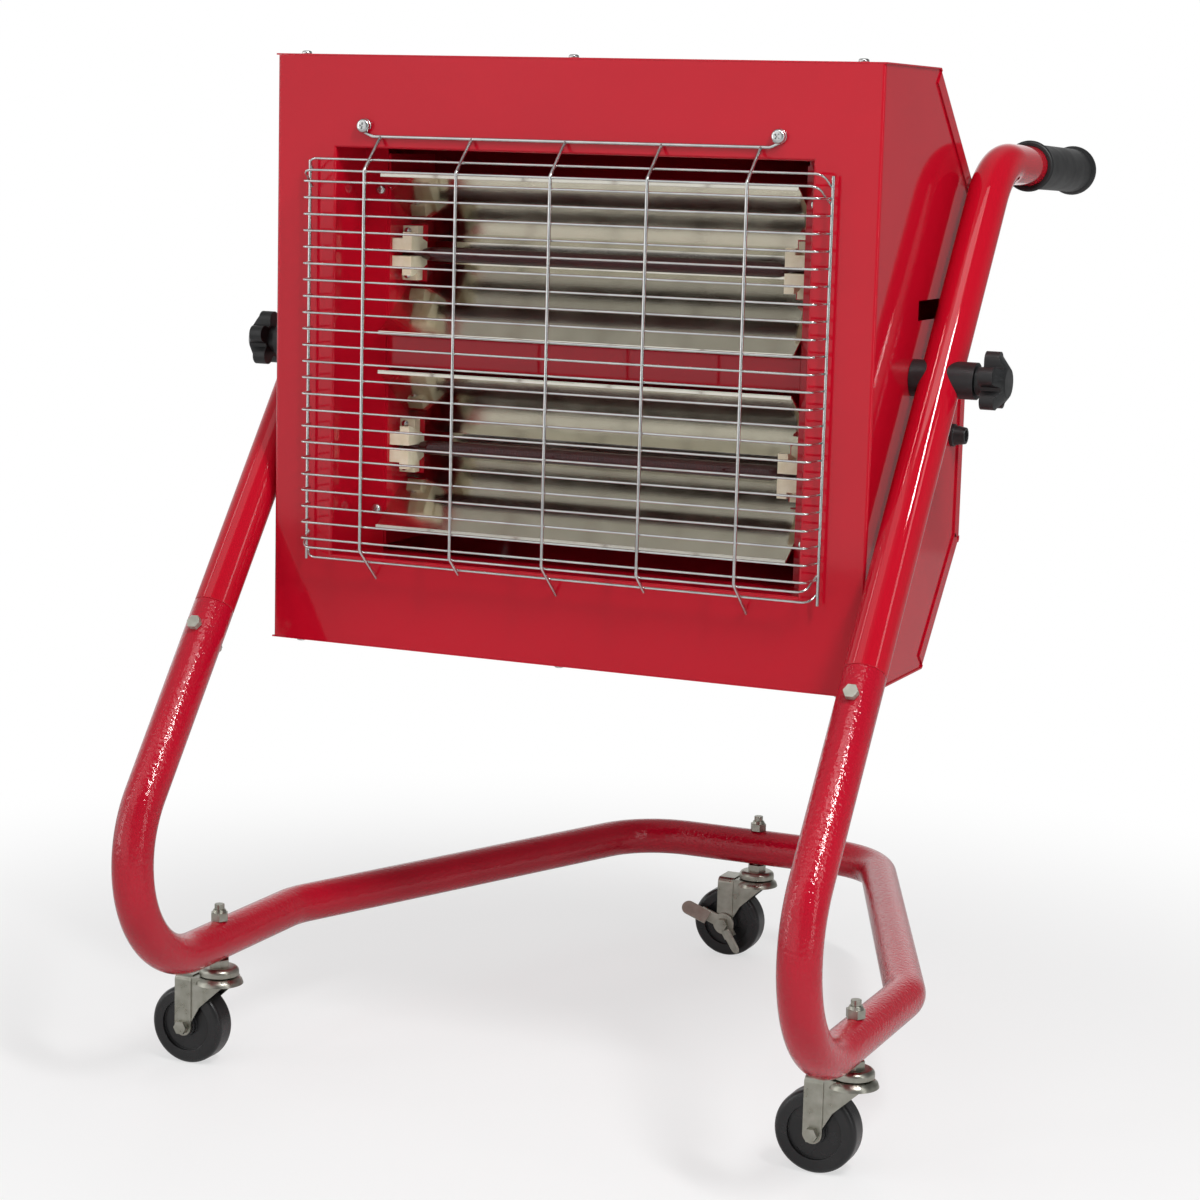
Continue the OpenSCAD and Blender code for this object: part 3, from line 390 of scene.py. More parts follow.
def baked(holder: Object, name: str) -> Mesh:
    """Turns an object with modifiers into a plain mesh and removes the object.

    Args:
        holder: The object.
        name: Name of the resulting mesh.

    Returns:
        The mesh with all modifiers applied.
    """
    source = holder.data
    graph = bpy.context.evaluated_depsgraph_get()
    result = bpy.data.meshes.new_from_object(
        holder.evaluated_get(graph), preserve_all_data_layers=True, depsgraph=graph)
    bpy.data.objects.remove(holder)
    bpy.data.meshes.remove(source)
    result.name = name
    return result


def new_tree(name: str, sockets: dict[str, str]) -> tuple[NodeTree, Any]:
    """Starts a geometry tree that takes a geometry and some named inputs.

    Args:
        name: The tree's name.
        sockets: The socket type of each named input.

    Returns:
        The tree and the outputs of its input node.
    """
    tree = bpy.data.node_groups.new(name, "GeometryNodeTree")
    tree.interface.new_socket("Geometry", in_out="INPUT", socket_type="NodeSocketGeometry")
    for label, kind in sockets.items():
        tree.interface.new_socket(label, in_out="INPUT", socket_type=kind)
    tree.interface.new_socket("Geometry", in_out="OUTPUT", socket_type="NodeSocketGeometry")
    return tree, add_node(tree, "NodeGroupInput").outputs


def end_tree(tree: NodeTree, shape: NodeSocket, material: NodeSocket) -> NodeTree:
    """Closes a geometry tree with Realize Instances and Set Material.

    Args:
        tree: The tree.
        shape: The geometry that goes out.
        material: The material that it gets.

    Returns:
        The same tree.
    """
    real = add_node(tree, "GeometryNodeRealizeInstances", {"Geometry": shape})
    smooth = add_node(tree, "GeometryNodeSetShadeSmooth", {"Geometry": real.outputs["Geometry"]})
    painted = add_node(tree, "GeometryNodeSetMaterial", {
        "Geometry": smooth.outputs["Geometry"], "Material": material})
    add_node(tree, "NodeGroupOutput", {"Geometry": painted.outputs["Geometry"]})
    return tree


@cache
def sweep_tree() -> NodeTree:
    """Finds the tree that sweeps a round along edge chains, as thick as their points say.

    Returns:
        The tree, made on first use.
    """
    tree, given = new_tree("swept_round", {"Sides": "NodeSocketInt", "Material": "NodeSocketMaterial"})
    thick = add_node(tree, "GeometryNodeInputNamedAttribute", {"Name": "thickness"}, data_type="FLOAT")
    curve = add_node(tree, "GeometryNodeMeshToCurve", {"Mesh": given["Geometry"]})
    ring = add_node(tree, "GeometryNodeCurvePrimitiveCircle", {"Resolution": given["Sides"], "Radius": 1.0})
    swept = add_node(tree, "GeometryNodeCurveToMesh", {
        "Curve": curve.outputs["Curve"], "Profile Curve": ring.outputs["Curve"],
        "Scale": thick.outputs["Attribute"], "Fill Caps": True})
    return end_tree(tree, swept.outputs["Mesh"], given["Material"])


@cache
def place_tree() -> NodeTree:
    """Finds the tree that sets a shape on points, turned as their attribute says.

    Returns:
        The tree, made on first use.
    """
    tree, given = new_tree("set_on_points", {"Shape": "NodeSocketObject", "Material": "NodeSocketMaterial"})
    facing = add_node(tree, "GeometryNodeInputNamedAttribute", {"Name": "facing"}, data_type="FLOAT_VECTOR")
    turn = add_node(tree, "FunctionNodeEulerToRotation", {"Euler": facing.outputs["Attribute"]})
    shape = add_node(tree, "GeometryNodeObjectInfo", {"Object": given["Shape"]})
    placed = add_node(tree, "GeometryNodeInstanceOnPoints", {
        "Points": given["Geometry"], "Instance": shape.outputs["Geometry"],
        "Rotation": turn.outputs["Rotation"]})
    return end_tree(tree, placed.outputs["Instances"], given["Material"])


def set_on(name: str, places: Sequence[Place], shape: Mesh, finish: Finish) -> Mesh:
    """Sets a shape on every place.

    Args:
        name: Name of the resulting mesh.
        places: Points, each with the Euler turn of what is set there.
        shape: The shape, about its own origin.
        finish: Its finish.

    Returns:
        One mesh with all the copies.
    """
    cloud = bpy.data.meshes.new(name + "_points")
    cloud.from_pydata([p for p, _ in places], [], [])
    turns = [c for _, turn in places for c in turn]
    cloud.attributes.new("facing", "FLOAT_VECTOR", "POINT").data.foreach_set("vector", turns)
    source = bpy.data.objects.new(name + "_shape", shape)
    made = run_tree(name, cloud, place_tree(), {"Shape": source, "Material": finish.material()})
    bpy.data.objects.remove(source)
    bpy.data.meshes.remove(shape)
    return made


def shade(mesh: Mesh, angle_deg: float) -> Mesh:
    """Shades a mesh smooth with sharp edges above an angle.

    Args:
        mesh: The mesh.
        angle_deg: Edges that turn more stay sharp.

    Returns:
        The same mesh.
    """
    mesh.polygons.foreach_set("use_smooth", [True] * len(mesh.polygons))
    mesh.set_sharp_from_angle(angle=math.radians(angle_deg))
    return mesh


def piece(name: str, mesh: Mesh, finish: Finish, body: str, replaces: Sequence[str] = ()) -> None:
    """Puts a mesh into the scene as a piece of the heater.

    Args:
        name: The piece's name.
        mesh: Its mesh, in the heater's frame.
        finish: Its finish.
        body: The body that it rides on.
        replaces: The CAD nodes that it stands for.
    """
    made = linked(name, mesh)
    mesh.materials.clear()
    mesh.materials.append(finish.material())
    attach(made, body)
    if replaces:
        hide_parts(*replaces)
    LOG.info("%s on %s: %d faces", name, body, len(mesh.polygons))


def sweep_piece(name: str, runs: Iterable[Run], sides: int, finish: Finish, body: str,
                replaces: Sequence[str] = ()) -> None:
    """Sweeps rounds along paths and puts them into the scene as one piece.

    Args:
        name: The piece's name.
        runs: Pairs of a path and its radius, or its radii, in millimetres.
        sides: Faces around each round.
        finish: The piece's finish.
        body: The body that it rides on.
        replaces: The CAD nodes that it stands for.
    """
    values = {"Sides": sides, "Material": finish.material()}
    swept = run_tree(name, line_mesh(name + "_lines", runs), sweep_tree(), values)
    piece(name, swept, finish, body, replaces)


def edged_copy(node: str, width_mm: float, segments: int) -> Mesh:
    """Copies a CAD node's mesh and rounds its edges.

    Args:
        node: The CAD node.
        width_mm: Width of the rounding.
        segments: Faces across the rounding.

    Returns:
        The rounded mesh.
    """
    mesh = frame["nodes"][node].data.copy()
    work = bmesh.new()
    work.from_mesh(mesh)
    bmesh.ops.remove_doubles(work, verts=work.verts, dist=CAD_MERGE)
    bmesh.ops.dissolve_limit(work, angle_limit=math.radians(FLAT_DEG), verts=work.verts, edges=work.edges)
    work.to_mesh(mesh)
    work.free()
    if "custom_normal" in mesh.attributes:
        mesh.attributes.remove(mesh.attributes["custom_normal"])
    holder = linked(node + "_source", shade(mesh, EDGE_DEG))
    bevel = holder.modifiers.new("edges", "BEVEL")
    bevel.width = width_mm * MM
    bevel.segments = segments
    bevel.limit_method = "ANGLE"
    bevel.angle_limit = math.radians(EDGE_DEG)
    bevel.miter_outer = "MITER_ARC"
    holder.modifiers.new("flats", "WEIGHTED_NORMAL").keep_sharp = False
    return baked(holder, node + "_edged")


def sheet_mesh(name: str, faces: Sequence[Path], thickness_mm: float) -> Mesh:
    """Joins faces into a skin and gives it a sheet's thickness behind its front.

    Args:
        name: The mesh's name.
        faces: Corner lists that run round their faces as seen from the front.
        thickness_mm: Thickness of the sheet.

    Returns:
        The closed sheet.
    """
    work = bmesh.new()
    for corners in faces:
        work.faces.new([work.verts.new(c) for c in corners])
    bmesh.ops.remove_doubles(work, verts=work.verts, dist=SHEET_MERGE)
    holder = linked(name + "_source", mesh_of(name + "_skin", work))
    solid = holder.modifiers.new("sheet", "SOLIDIFY")
    solid.thickness = thickness_mm * MM
    solid.offset = -1.0
    solid.use_even_offset = True
    return shade(baked(holder, name), SHEET_DEG)


# Sub-assemblies


@dataclass
class TubeStand:
    """The bent-tube stand: one base frame and two upper tubes with handles."""

    tube_d: float = 32.0
    bend_r: float = 68.0
    foot_bend_r: float = 88.0
    leg_lean: float = 36.75
    leg_joint: float = 340.0
    leg_x: float = 269.5
    base_z: float = 104.5
    base_depth: float = 720.0
    foot_len: float = 334.0
    taper_deg: float = 21.8
    handle_at: float = 790.0
    handle_drop: float = 1.5
    handle_len: float = 234.0
    corner_y: float = -407.97
    lip: float = 0.8
    lip_ease: float = 0.3
    arc_step: float = 3.0
    sides: int = 56

    def on_leg(self, along: float, side: Side) -> Vector:
        """Returns the point on a side's leg that lies a distance along its line from the base."""
        lean = math.radians(self.leg_lean)
        return point(side.value * self.leg_x, self.corner_y + along * math.sin(lean),
                     self.base_z + along * math.cos(lean))

    def lipped(self, path: Path, both: bool) -> Run:
        """Rounds a tube's cut ends.

        Args:
            path: The tube's path, from a cut end.
            both: Whether its last end shows a cut too.

        Returns:
            The path with added points, and the radius at each of its points.
        """
        r, ease = self.tube_d / 2, self.lip * self.lip_ease
        shrink = ((0.0, self.lip), (ease, ease), (self.lip, 0.0))
        way = (path[1] - path[0]).normalized() * MM
        points = [path[0] + way * d for d, _ in shrink] + path[1:]
        radii = [r - s for _, s in shrink] + [r] * (len(path) - 1)
        if both:
            way = (path[-2] - path[-1]).normalized() * MM
            points[-1:] = [path[-1] + way * d for d, _ in reversed(shrink)]
            radii[-1:] = [r - s for _, s in reversed(shrink)]
        return points, radii

    def base_path(self) -> Path:
        """Draws the base frame's centreline.

        Returns:
            The points from joint to joint.
        """
        rear = self.corner_y + self.base_depth
        half = self.leg_x - (self.base_depth - self.foot_len) * math.tan(math.radians(self.taper_deg))
        right = [point(half, rear, self.base_z),
                 point(self.leg_x, self.corner_y + self.foot_len, self.base_z),
                 point(self.leg_x, self.corner_y, self.base_z), self.on_leg(self.leg_joint, Side.RIGHT)]
        left = [Vector((-p.x, p.y, p.z)) for p in reversed(right)]
        bends = [self.foot_bend_r, self.bend_r, self.bend_r]
        return filleted(left + right, bends + bends[::-1], self.arc_step)

    def upper_path(self, side: Side) -> Path:
        """Draws an upper tube's centreline.

        Args:
            side: The tube's side.

        Returns:
            The points from the joint to the end in the grip.
        """
        drop = math.radians(self.handle_drop)
        corner = self.on_leg(self.handle_at, side)
        end = corner + point(0, math.cos(drop), -math.sin(drop)) * self.handle_len
        return filleted([self.on_leg(self.leg_joint, side), corner, end], [self.bend_r], self.arc_step)

    def build(self) -> None:
        """Sweeps the tubes and dresses them."""
        base = self.lipped(self.base_path(), True)
        sweep_piece("base_frame_tube", [base], self.sides, POWDER_COAT, "stand", ["base_frame"])
        for side in Side:
            name = side.name.lower() + "_upper_tube"
            upper = self.lipped(self.upper_path(side), False)
            sweep_piece(name + "_swept", [upper], self.sides, GLOSS_ENAMEL, "stand", [name])


@dataclass
class Cabinet:
    """The sheet-steel cabinet: a folded front shell and a wrap-around rear cover."""

    width: float = 496.0
    height: float = 460.0
    depth: float = 228.0
    top_flat: float = 128.0
    top_slope_h: float = 90.0
    bottom_flat: float = 144.0
    bottom_slope_h: float = 92.0
    sheet: float = 1.2
    lap_gap: float = 0.1
    lip_w: float = 13.0
    notch: float = 3.0
    fold_r: float = 2.4
    open_w: float = 392.0
    open_h: float = 318.0
    open_return: float = 50.0
    inner_flange: float = 20.0
    vent: tuple[float, float, float, float] = (100.0, 152.0, 272.0, 287.0)
    face_y: float = -148.96
    cab_z: float = 347.24
    fold_steps: int = 5
    support: float = 0.5
    screw_flange: float = 20.0
    cover_fold_r: float = 3.0
    cover_step: float = 8.0
    on_edge: float = 1e-4

    def at(self, x: float, depth: float, h: float) -> Vector:
        """Returns a place by its x, its depth behind the cabinet's face and its height above the bottom."""
        return point(x, self.face_y + depth, self.cab_z + h)

    def upright(self, x: float, depth: float, low: float, high: float) -> Path:
        """Returns the corners of an upright rectangle that reaches as far to the left as to the right."""
        return [self.at(*c) for c in ((-x, depth, low), (x, depth, low), (x, depth, high), (-x, depth, high))]

    def profile(self, m: float) -> list[Point2]:
        """Draws the side profile.

        Args:
            m: The margin by which it is set in.

        Returns:
            Its corners as depth and height.
        """
        low = math.atan2(self.bottom_slope_h, self.depth - self.bottom_flat)
        top = math.atan2(self.top_slope_h, self.depth - self.top_flat)
        right = math.pi / 2
        return [
            (0.0, m), (self.bottom_flat - m * math.tan(low / 2), m),
            (self.depth - m, self.bottom_slope_h + m * math.tan((right - low) / 2)),
            (self.depth - m, self.height - self.top_slope_h - m * math.tan((right - top) / 2)),
            (self.top_flat - m * math.tan(top / 2), self.height - m), (0.0, self.height - m)]

    def fold(self) -> list[Point2]:
        """Draws a right-angled fold, with a support point on both sides.

        Returns:
            Distances before and behind the fold's corner.
        """
        steps = [math.pi / 2 * k / self.fold_steps for k in range(self.fold_steps + 1)]
        arc = [(self.fold_r * (1 - math.sin(a)), self.fold_r * (1 - math.cos(a))) for a in steps]
        return [(self.fold_r + self.support, 0.0), *arc, (0.0, self.fold_r + self.support)]

    @staticmethod
    def clip(poly: list[Point2], axis: int, value: float, keep_above: bool) -> list[Point2]:
        """Cuts a convex polygon at a line.

        Args:
            poly: The polygon.
            axis: 0 cuts at a depth, 1 at a height.
            value: Where the cut lies.
            keep_above: Which side stays.

        Returns:
            The polygon's part on the kept side.
        """
        sign = 1 if keep_above else -1
        kept: list[Point2] = []
        for a, b in zip(poly, poly[1:] + poly[:1]):
            da, db = sign * (a[axis] - value), sign * (b[axis] - value)
            if da >= 0:
                kept.append(a)
            if da * db < 0:
                t = da / (da - db)
                kept.append((a[0] + t * (b[0] - a[0]), a[1] + t * (b[1] - a[1])))
        return kept

    def rings(self) -> list[Path]:
        """Returns the rectangles round the opening, from the face to the end of its return."""
        low, high = (self.height - self.open_h) / 2, (self.height + self.open_h) / 2
        return [self.upright(self.open_w / 2 + out, deep, low - out, high + out)
                for out, deep in [*self.fold(), (0.0, self.open_return - self.sheet)]]

    def front_faces(self) -> list[Path]:
        """Lays out the front shell: face, folds, return, flanges and sides with their vents.

        Returns:
            The corners of each face of its skin.
        """
        inset = self.sheet + self.lap_gap
        low, high = inset, self.height - inset
        fold = self.fold()
        flat_x = self.width / 2 - fold[0][0]
        rim = self.rings()
        faces = []
        for outer, inner in zip([self.upright(flat_x, 0, low, high), *rim], rim):
            faces += [[outer[i], outer[(i + 1) % 4], inner[(i + 1) % 4], inner[i]] for i in range(4)]
        for h, s in ((low, -1), (high, 1)):
            ends = ((-flat_x, 0), (flat_x, 0), (flat_x, self.screw_flange), (-flat_x, self.screw_flange))
            faces.append(turned_out([self.at(x, d, h) for x, d in ends], s))
        back = rim[-1]
        for s, lower, upper in ((-1, back[0], back[3]), (1, back[1], back[2])):
            step = point(-s * self.inner_flange, 0, 0)
            faces.append(turned_out([lower, lower + step, upper + step, upper], -s))
        for s in (-1, 1):
            for (xa, da), (xb, db) in zip(fold, fold[1:]):
                a, b = s * (self.width / 2 - xa), s * (self.width / 2 - xb)
                ends = ((a, da, low), (b, db, low), (b, db, high), (a, da, high))
                faces.append(turned_out([self.at(*c) for c in ends], s))
            for part in self.side_parts(fold[-1][1]):
                faces.append(turned_out([self.at(s * self.width / 2, d, h) for d, h in part], s))
        return faces

    def side_parts(self, start: float) -> list[list[Point2]]:
        """Cuts a side panel into convex parts round the vent slot.

        Args:
            start: The depth at which the panel begins, behind its front fold.

        Returns:
            The parts as depths and heights.
        """
        d0, d1, h0, h1 = self.vent
        whole = self.clip(self.profile(self.sheet + self.lap_gap), 0, start, True)
        middle = self.clip(self.clip(whole, 0, d0, True), 0, d1, False)
        return [self.clip(whole, 0, d0, False), self.clip(whole, 0, d1, True),
                self.clip(middle, 1, h0, False), self.clip(middle, 1, h1, True)]

    @staticmethod
    def detour(via: Vector, start: Vector, stop: Vector) -> float:
        """Returns how much longer the way from start to stop gets by a point between them."""
        return (via - start).length + (via - stop).length - (stop - start).length

    def cover_faces(self) -> list[Path]:
        """Lays out the rear cover: the wrapped sheet and the lips that are folded over the sides.

        Returns:
            The corners of each face of its skin.
        """
        corners = self.profile(0.0)
        flat = [point(0, d, h) for d, h in corners]
        rounded = filleted(flat, [self.cover_fold_r] * (len(flat) - 2), self.cover_step)
        path = [(p / MM).yz for p in rounded]
        lips = []
        for a, b in zip(map(Vector, corners[1:4]), map(Vector, corners[2:5])):
            unit = (b - a).normalized()
            lips.append((a + unit * self.notch, b - unit * self.notch, unit))
        for extra in [end for lip in lips for end in lip[:2]]:
            longer = [self.detour(extra, p, q) for p, q in zip(path, path[1:])]
            path.insert(longer.index(min(longer)) + 1, extra)
        fold = self.fold()
        edge = self.width / 2 + self.lap_gap + self.sheet
        inside = edge - fold[0][0]
        faces = []
        for a, b in zip(path, path[1:]):
            faces.append([self.at(-inside, *a), self.at(-inside, *b), self.at(inside, *b), self.at(inside, *a)])
            rows, inward = [(inside, 0.0), (edge, 0.0)], Vector((0.0, 0.0))
            for start, stop, unit in lips:
                if max(self.detour(p, start, stop) for p in (a, b)) < self.on_edge:
                    rows = [(edge - out, deep) for out, deep in fold] + [(edge, self.lip_w)]
                    inward = Vector((-unit.y, unit.x))
            for s in (-1, 1):
                for (xa, ia), (xb, ib) in zip(rows, rows[1:]):
                    ends = ((xa, a, ia), (xa, b, ia), (xb, b, ib), (xb, a, ib))
                    faces.append(turned_out([self.at(s * x, *(p + inward * i)) for x, p, i in ends], s))
        return faces

    def build(self) -> None:
        """Makes the two sheets and dresses them."""
        shell = sheet_mesh("front_shell_sheet", self.front_faces(), self.sheet)
        piece("front_shell_sheet", shell, GLOSS_ENAMEL, "head",
              ["front_shell", "left_side_panel", "right_side_panel"])
        cover = sheet_mesh("rear_cover_sheet", self.cover_faces(), self.sheet)
        piece("rear_cover_sheet", cover, GLOSS_ENAMEL, "head", ["rear_cover"])


@dataclass
class WireGuard:
    """The welded wire guard over the lamps."""

    cabinet: Cabinet
    stay_d: float = 2.6
    cross_d: float = 1.8
    cross_count: int = 23
    cross_pitch: float = 12.6
    stay_pitch: float = 78.0
    depth: float = 27.0
    half_w: float = 210.0
    splay: float = 2.5
    side_off: float = 7.0
    weld_sink: float = 0.3
    drop: float = 3.5
    front_h: float = 293.0
    rise: float = 25.0
    screw_x: float = 170.0
    bend: float = 4.0
    eye_r: float = 4.5
    eye_turn: float = 270.0
    eye_steps: int = 27
    kick_deg: float = 24.0
    kick_run: float = 9.5
    cross_drop: float = 2.0
    edge_tilt: float = 33.0
    tray_tilt: float = 40.0
    top_tray_at: float = 12.5
    low_edge_at: float = 4.5
    low_tray_at: float = 18.0
    hook_drop: float = 24.0
    hook_len: float = 8.0
    side_below: float = 13.0
    side_above: float = 6.0
    stay_step: float = 12.0
    cross_step: float = 15.0
    stays: range = range(-2, 3)
    sides: int = 12
    bead_size: Point3 = (1.7, 1.1, 1.25)
    bead_faces: tuple[int, int] = (8, 6)
    flat_bead: float = 0.8
    slope_bead: float = 2 / 3
    beads: Path = field(default_factory=list)

    def __post_init__(self) -> None:
        """Works out the guard's main heights."""
        kick = math.radians(self.kick_deg)
        self.mid = self.cabinet.height / 2 - self.drop
        self.top = self.mid + self.front_h / 2
        self.bottom = self.mid - self.front_h / 2
        self.rail_h = self.top + self.rise
        self.eye_h = self.rail_h + self.kick_run * math.sin(kick) + self.eye_r * math.cos(kick)
        self.rail_off = self.stay_d / 2 + self.cabinet.lap_gap
        self.hook_h = self.bottom - self.hook_drop
        self.seat = (self.stay_d + self.cross_d) / 2 - self.weld_sink

    def weld(self, off: float, h: float, share: float) -> None:
        """Notes beads where a cross wire meets the long wires, a share of its radius in front of it."""
        front = -off - share * self.cross_d / 2
        self.beads += [self.cabinet.at(x * self.stay_pitch, front, h) for x in self.stays]

    def cross_wire(self, off: float, h: float, tilt: float, reach: float, radius: float) -> Path:
        """Draws a cross wire whose ends are bent back to the side wires.

        Args:
            off: Distance of its front from the cabinet's face.
            h: Its height.
            tilt: Angle at which its ends turn down, in degrees.
            reach: Length of its ends.
            radius: Bend radius.

        Returns:
            The wire's path.
        """
        t = math.radians(tilt)
        back_d, back_h = -off + reach * math.cos(t), h - reach * math.sin(t)
        out = self.half_w + self.splay
        at = self.cabinet.at
        corners = [at(-out, back_d, back_h), at(-self.half_w, -off, h),
                   at(self.half_w, -off, h), at(out, back_d, back_h)]
        self.beads += [at(s * (out + self.cross_d / 2), back_d, back_h) for s in (-1, 1)]
        return filleted(corners, [radius, radius], self.cross_step)

    def slope_wire(self, side: int, slope: Point2, along: float, tilt: float) -> Path:
        """Draws a cross wire on the sloping part of the long wires.

        Args:
            side: 1 above the front, -1 below it.
            slope: How far the slope runs back and away from the front.
            along: The wire's place on the slope.
            tilt: Angle at which its ends turn, in degrees.

        Returns:
            The wire's path.
        """
        size = math.hypot(*slope)
        unit = (slope[0] / size, slope[1] / size)
        off = self.depth - along * unit[0] - self.seat * unit[1]
        up = along * unit[1] - self.seat * unit[0]
        reach = (off - self.side_off + self.cross_d / 2) / math.cos(math.radians(tilt))
        h = self.mid + side * (self.front_h / 2 + up)
        self.weld(off, h, self.slope_bead)
        return self.cross_wire(off, h, side * tilt, reach, 2 * self.bend)

    def stay_wire(self, x: float, hooked: bool) -> Path:
        """Draws a long wire from the rail down the front.

        Args:
            x: Its place.
            hooked: Whether it is hooked into the panel or cut short.

        Returns:
            The wire's path.
        """
        low = Vector((self.depth, self.hook_h - self.bottom)).normalized()
        length = self.low_tray_at + self.stay_d
        if hooked:
            length = math.hypot(self.depth, self.bottom - self.hook_h) + self.hook_len
        at = self.cabinet.at
        corners = [at(x, -self.rail_off, self.rail_h), at(x, -self.depth, self.top),
                   at(x, -self.depth, self.bottom),
                   at(x, -self.depth + low.x * length, self.bottom + low.y * length)]
        return filleted(corners, [self.bend, self.bend], self.stay_step)

    def half_rail(self, side: int) -> Path:
        """Draws half of the mounting rail with its open eye.

        Args:
            side: -1 to the left, 1 to the right.

        Returns:
            The wire's path from the middle.
        """
        kick = math.radians(self.kick_deg)
        corner = self.screw_x - self.kick_run * math.cos(kick) + self.eye_r * math.sin(kick)
        eye = []
        for k in range(self.eye_steps + 1):
            a = kick - math.pi / 2 + math.radians(self.eye_turn) * k / self.eye_steps
            eye.append(self.cabinet.at(side * (self.screw_x + self.eye_r * math.cos(a)), -self.rail_off,
                                       self.eye_h + self.eye_r * math.sin(a)))
        straight = [self.cabinet.at(x, -self.rail_off, self.rail_h) for x in (0, side * corner)]
        return filleted([*straight, eye[0]], [self.bend]) + eye[1:]

    def build(self) -> None:
        """Sweeps the wires, sets the weld beads on their crossings and dresses them."""
        stay_r, cross_r = self.stay_d / 2, self.cross_d / 2
        cross_off = self.depth - self.seat
        reach = cross_off - self.side_off + cross_r
        first = self.mid - self.cross_drop - (self.cross_count - 1) / 2 * self.cross_pitch
        wires: list[Run] = []
        for i in range(self.cross_count):
            h = first + i * self.cross_pitch
            wires.append((self.cross_wire(cross_off, h, 0, reach, self.bend), cross_r))
            self.weld(cross_off, h, self.flat_bead)
        top = (self.depth - self.rail_off, self.rise)
        low = (self.depth, self.bottom - self.hook_h)
        for side, slope, along, tilt in (
                (1, top, 0, self.edge_tilt), (1, top, self.top_tray_at, self.tray_tilt),
                (-1, low, self.low_edge_at, self.edge_tilt), (-1, low, self.low_tray_at, self.tray_tilt)):
            wires.append((self.slope_wire(side, slope, along, tilt), cross_r))
        wires += [(self.stay_wire(x * self.stay_pitch, x % 2 == 0), stay_r) for x in self.stays]
        side_x = self.half_w + self.splay + self.seat
        for s in (-1, 1):
            ends = (self.bottom - self.side_below, self.top + self.side_above)
            wires.append(([self.cabinet.at(s * side_x, -self.side_off, h) for h in ends], stay_r))
            wires.append((self.half_rail(s), stay_r))
        sweep_piece("guard_wires", wires, self.sides, CHROME_WIRE, "head", ["guard"])
        self.build_welds()

    def build_welds(self) -> None:
        """Sets a flattened bead of weld metal on each crossing of the wires."""
        work = bmesh.new()
        around, along = self.bead_faces
        bmesh.ops.create_uvsphere(work, u_segments=around, v_segments=along, radius=1.0)
        bmesh.ops.scale(work, vec=Vector(self.bead_size) * MM, verts=work.verts)
        places = [(p, Vector()) for p in self.beads]
        made = set_on("guard_weld_beads", places, mesh_of("weld_bead", work), CHROME_WIRE)
        piece("guard_weld_beads", made, CHROME_WIRE, "head")


@dataclass
class PanScrews:
    """Cross-recessed pan-head screws of one size."""

    node: str
    size: Point2
    places: list[Place]
    dome: tuple[Point2, ...] = ((0.98, 0.0), (1.0, 0.12), (1.0, 0.4), (0.94, 0.68), (0.8, 0.88), (0.6, 0.98))
    around: int = 24
    arm: float = 0.46
    slot: float = 0.12
    floor_size: float = 0.7
    floor_at: float = 0.5

    @staticmethod
    def band(work: bmesh.types.BMesh, low: list[Any], high: list[Any]) -> None:
        """Joins two closed rows of as many corners by faces."""
        for k in range(len(low)):
            work.faces.new((low[k], low[(k + 1) % len(low)], high[(k + 1) % len(low)], high[k]))

    def head(self) -> Mesh:
        """Makes a domed head with a cross recess.

        Returns:
            The head, its flat face on z = 0.
        """
        r, h = self.size[0] / 2, self.size[1]
        work = bmesh.new()
        turns = [2 * math.pi * k / self.around for k in range(self.around)]
        loops = [[work.verts.new(point(r * a * math.cos(t), r * a * math.sin(t), h * z)) for t in turns]
                 for a, z in self.dome]
        for low, high in zip(loops, loops[1:]):
            self.band(work, low, high)
        arm, slot = r * self.arm, r * self.slot
        outline = [(arm, -slot), (arm, slot), (slot, slot), (slot, arm), (-slot, arm), (-slot, slot),
                   (-arm, slot), (-arm, -slot), (-slot, -slot), (-slot, -arm), (slot, -arm), (slot, -slot)]
        mouth = [work.verts.new(point(x, y, h)) for x, y in outline]
        floor = [work.verts.new(point(x * self.floor_size, y * self.floor_size, h * self.floor_at))
                 for x, y in outline]
        self.band(work, mouth, floor)
        work.faces.new(floor)
        edges = [work.edges.get((row[k], row[(k + 1) % len(row)])) for row in (loops[-1], mouth)
                 for k in range(len(row))]
        bmesh.ops.triangle_fill(work, use_beauty=True, edges=edges)
        work.faces.new(loops[0][::-1])
        bmesh.ops.recalc_face_normals(work, faces=work.faces)
        return mesh_of(self.node + "_head", work)

    def build(self) -> None:
        """Sets the screws and dresses them."""
        made = set_on(self.node + "_crossed", self.places, self.head(), CHROME_WIRE)
        piece(self.node + "_crossed", shade(made, SHEET_DEG), CHROME_WIRE, "head", [self.node])


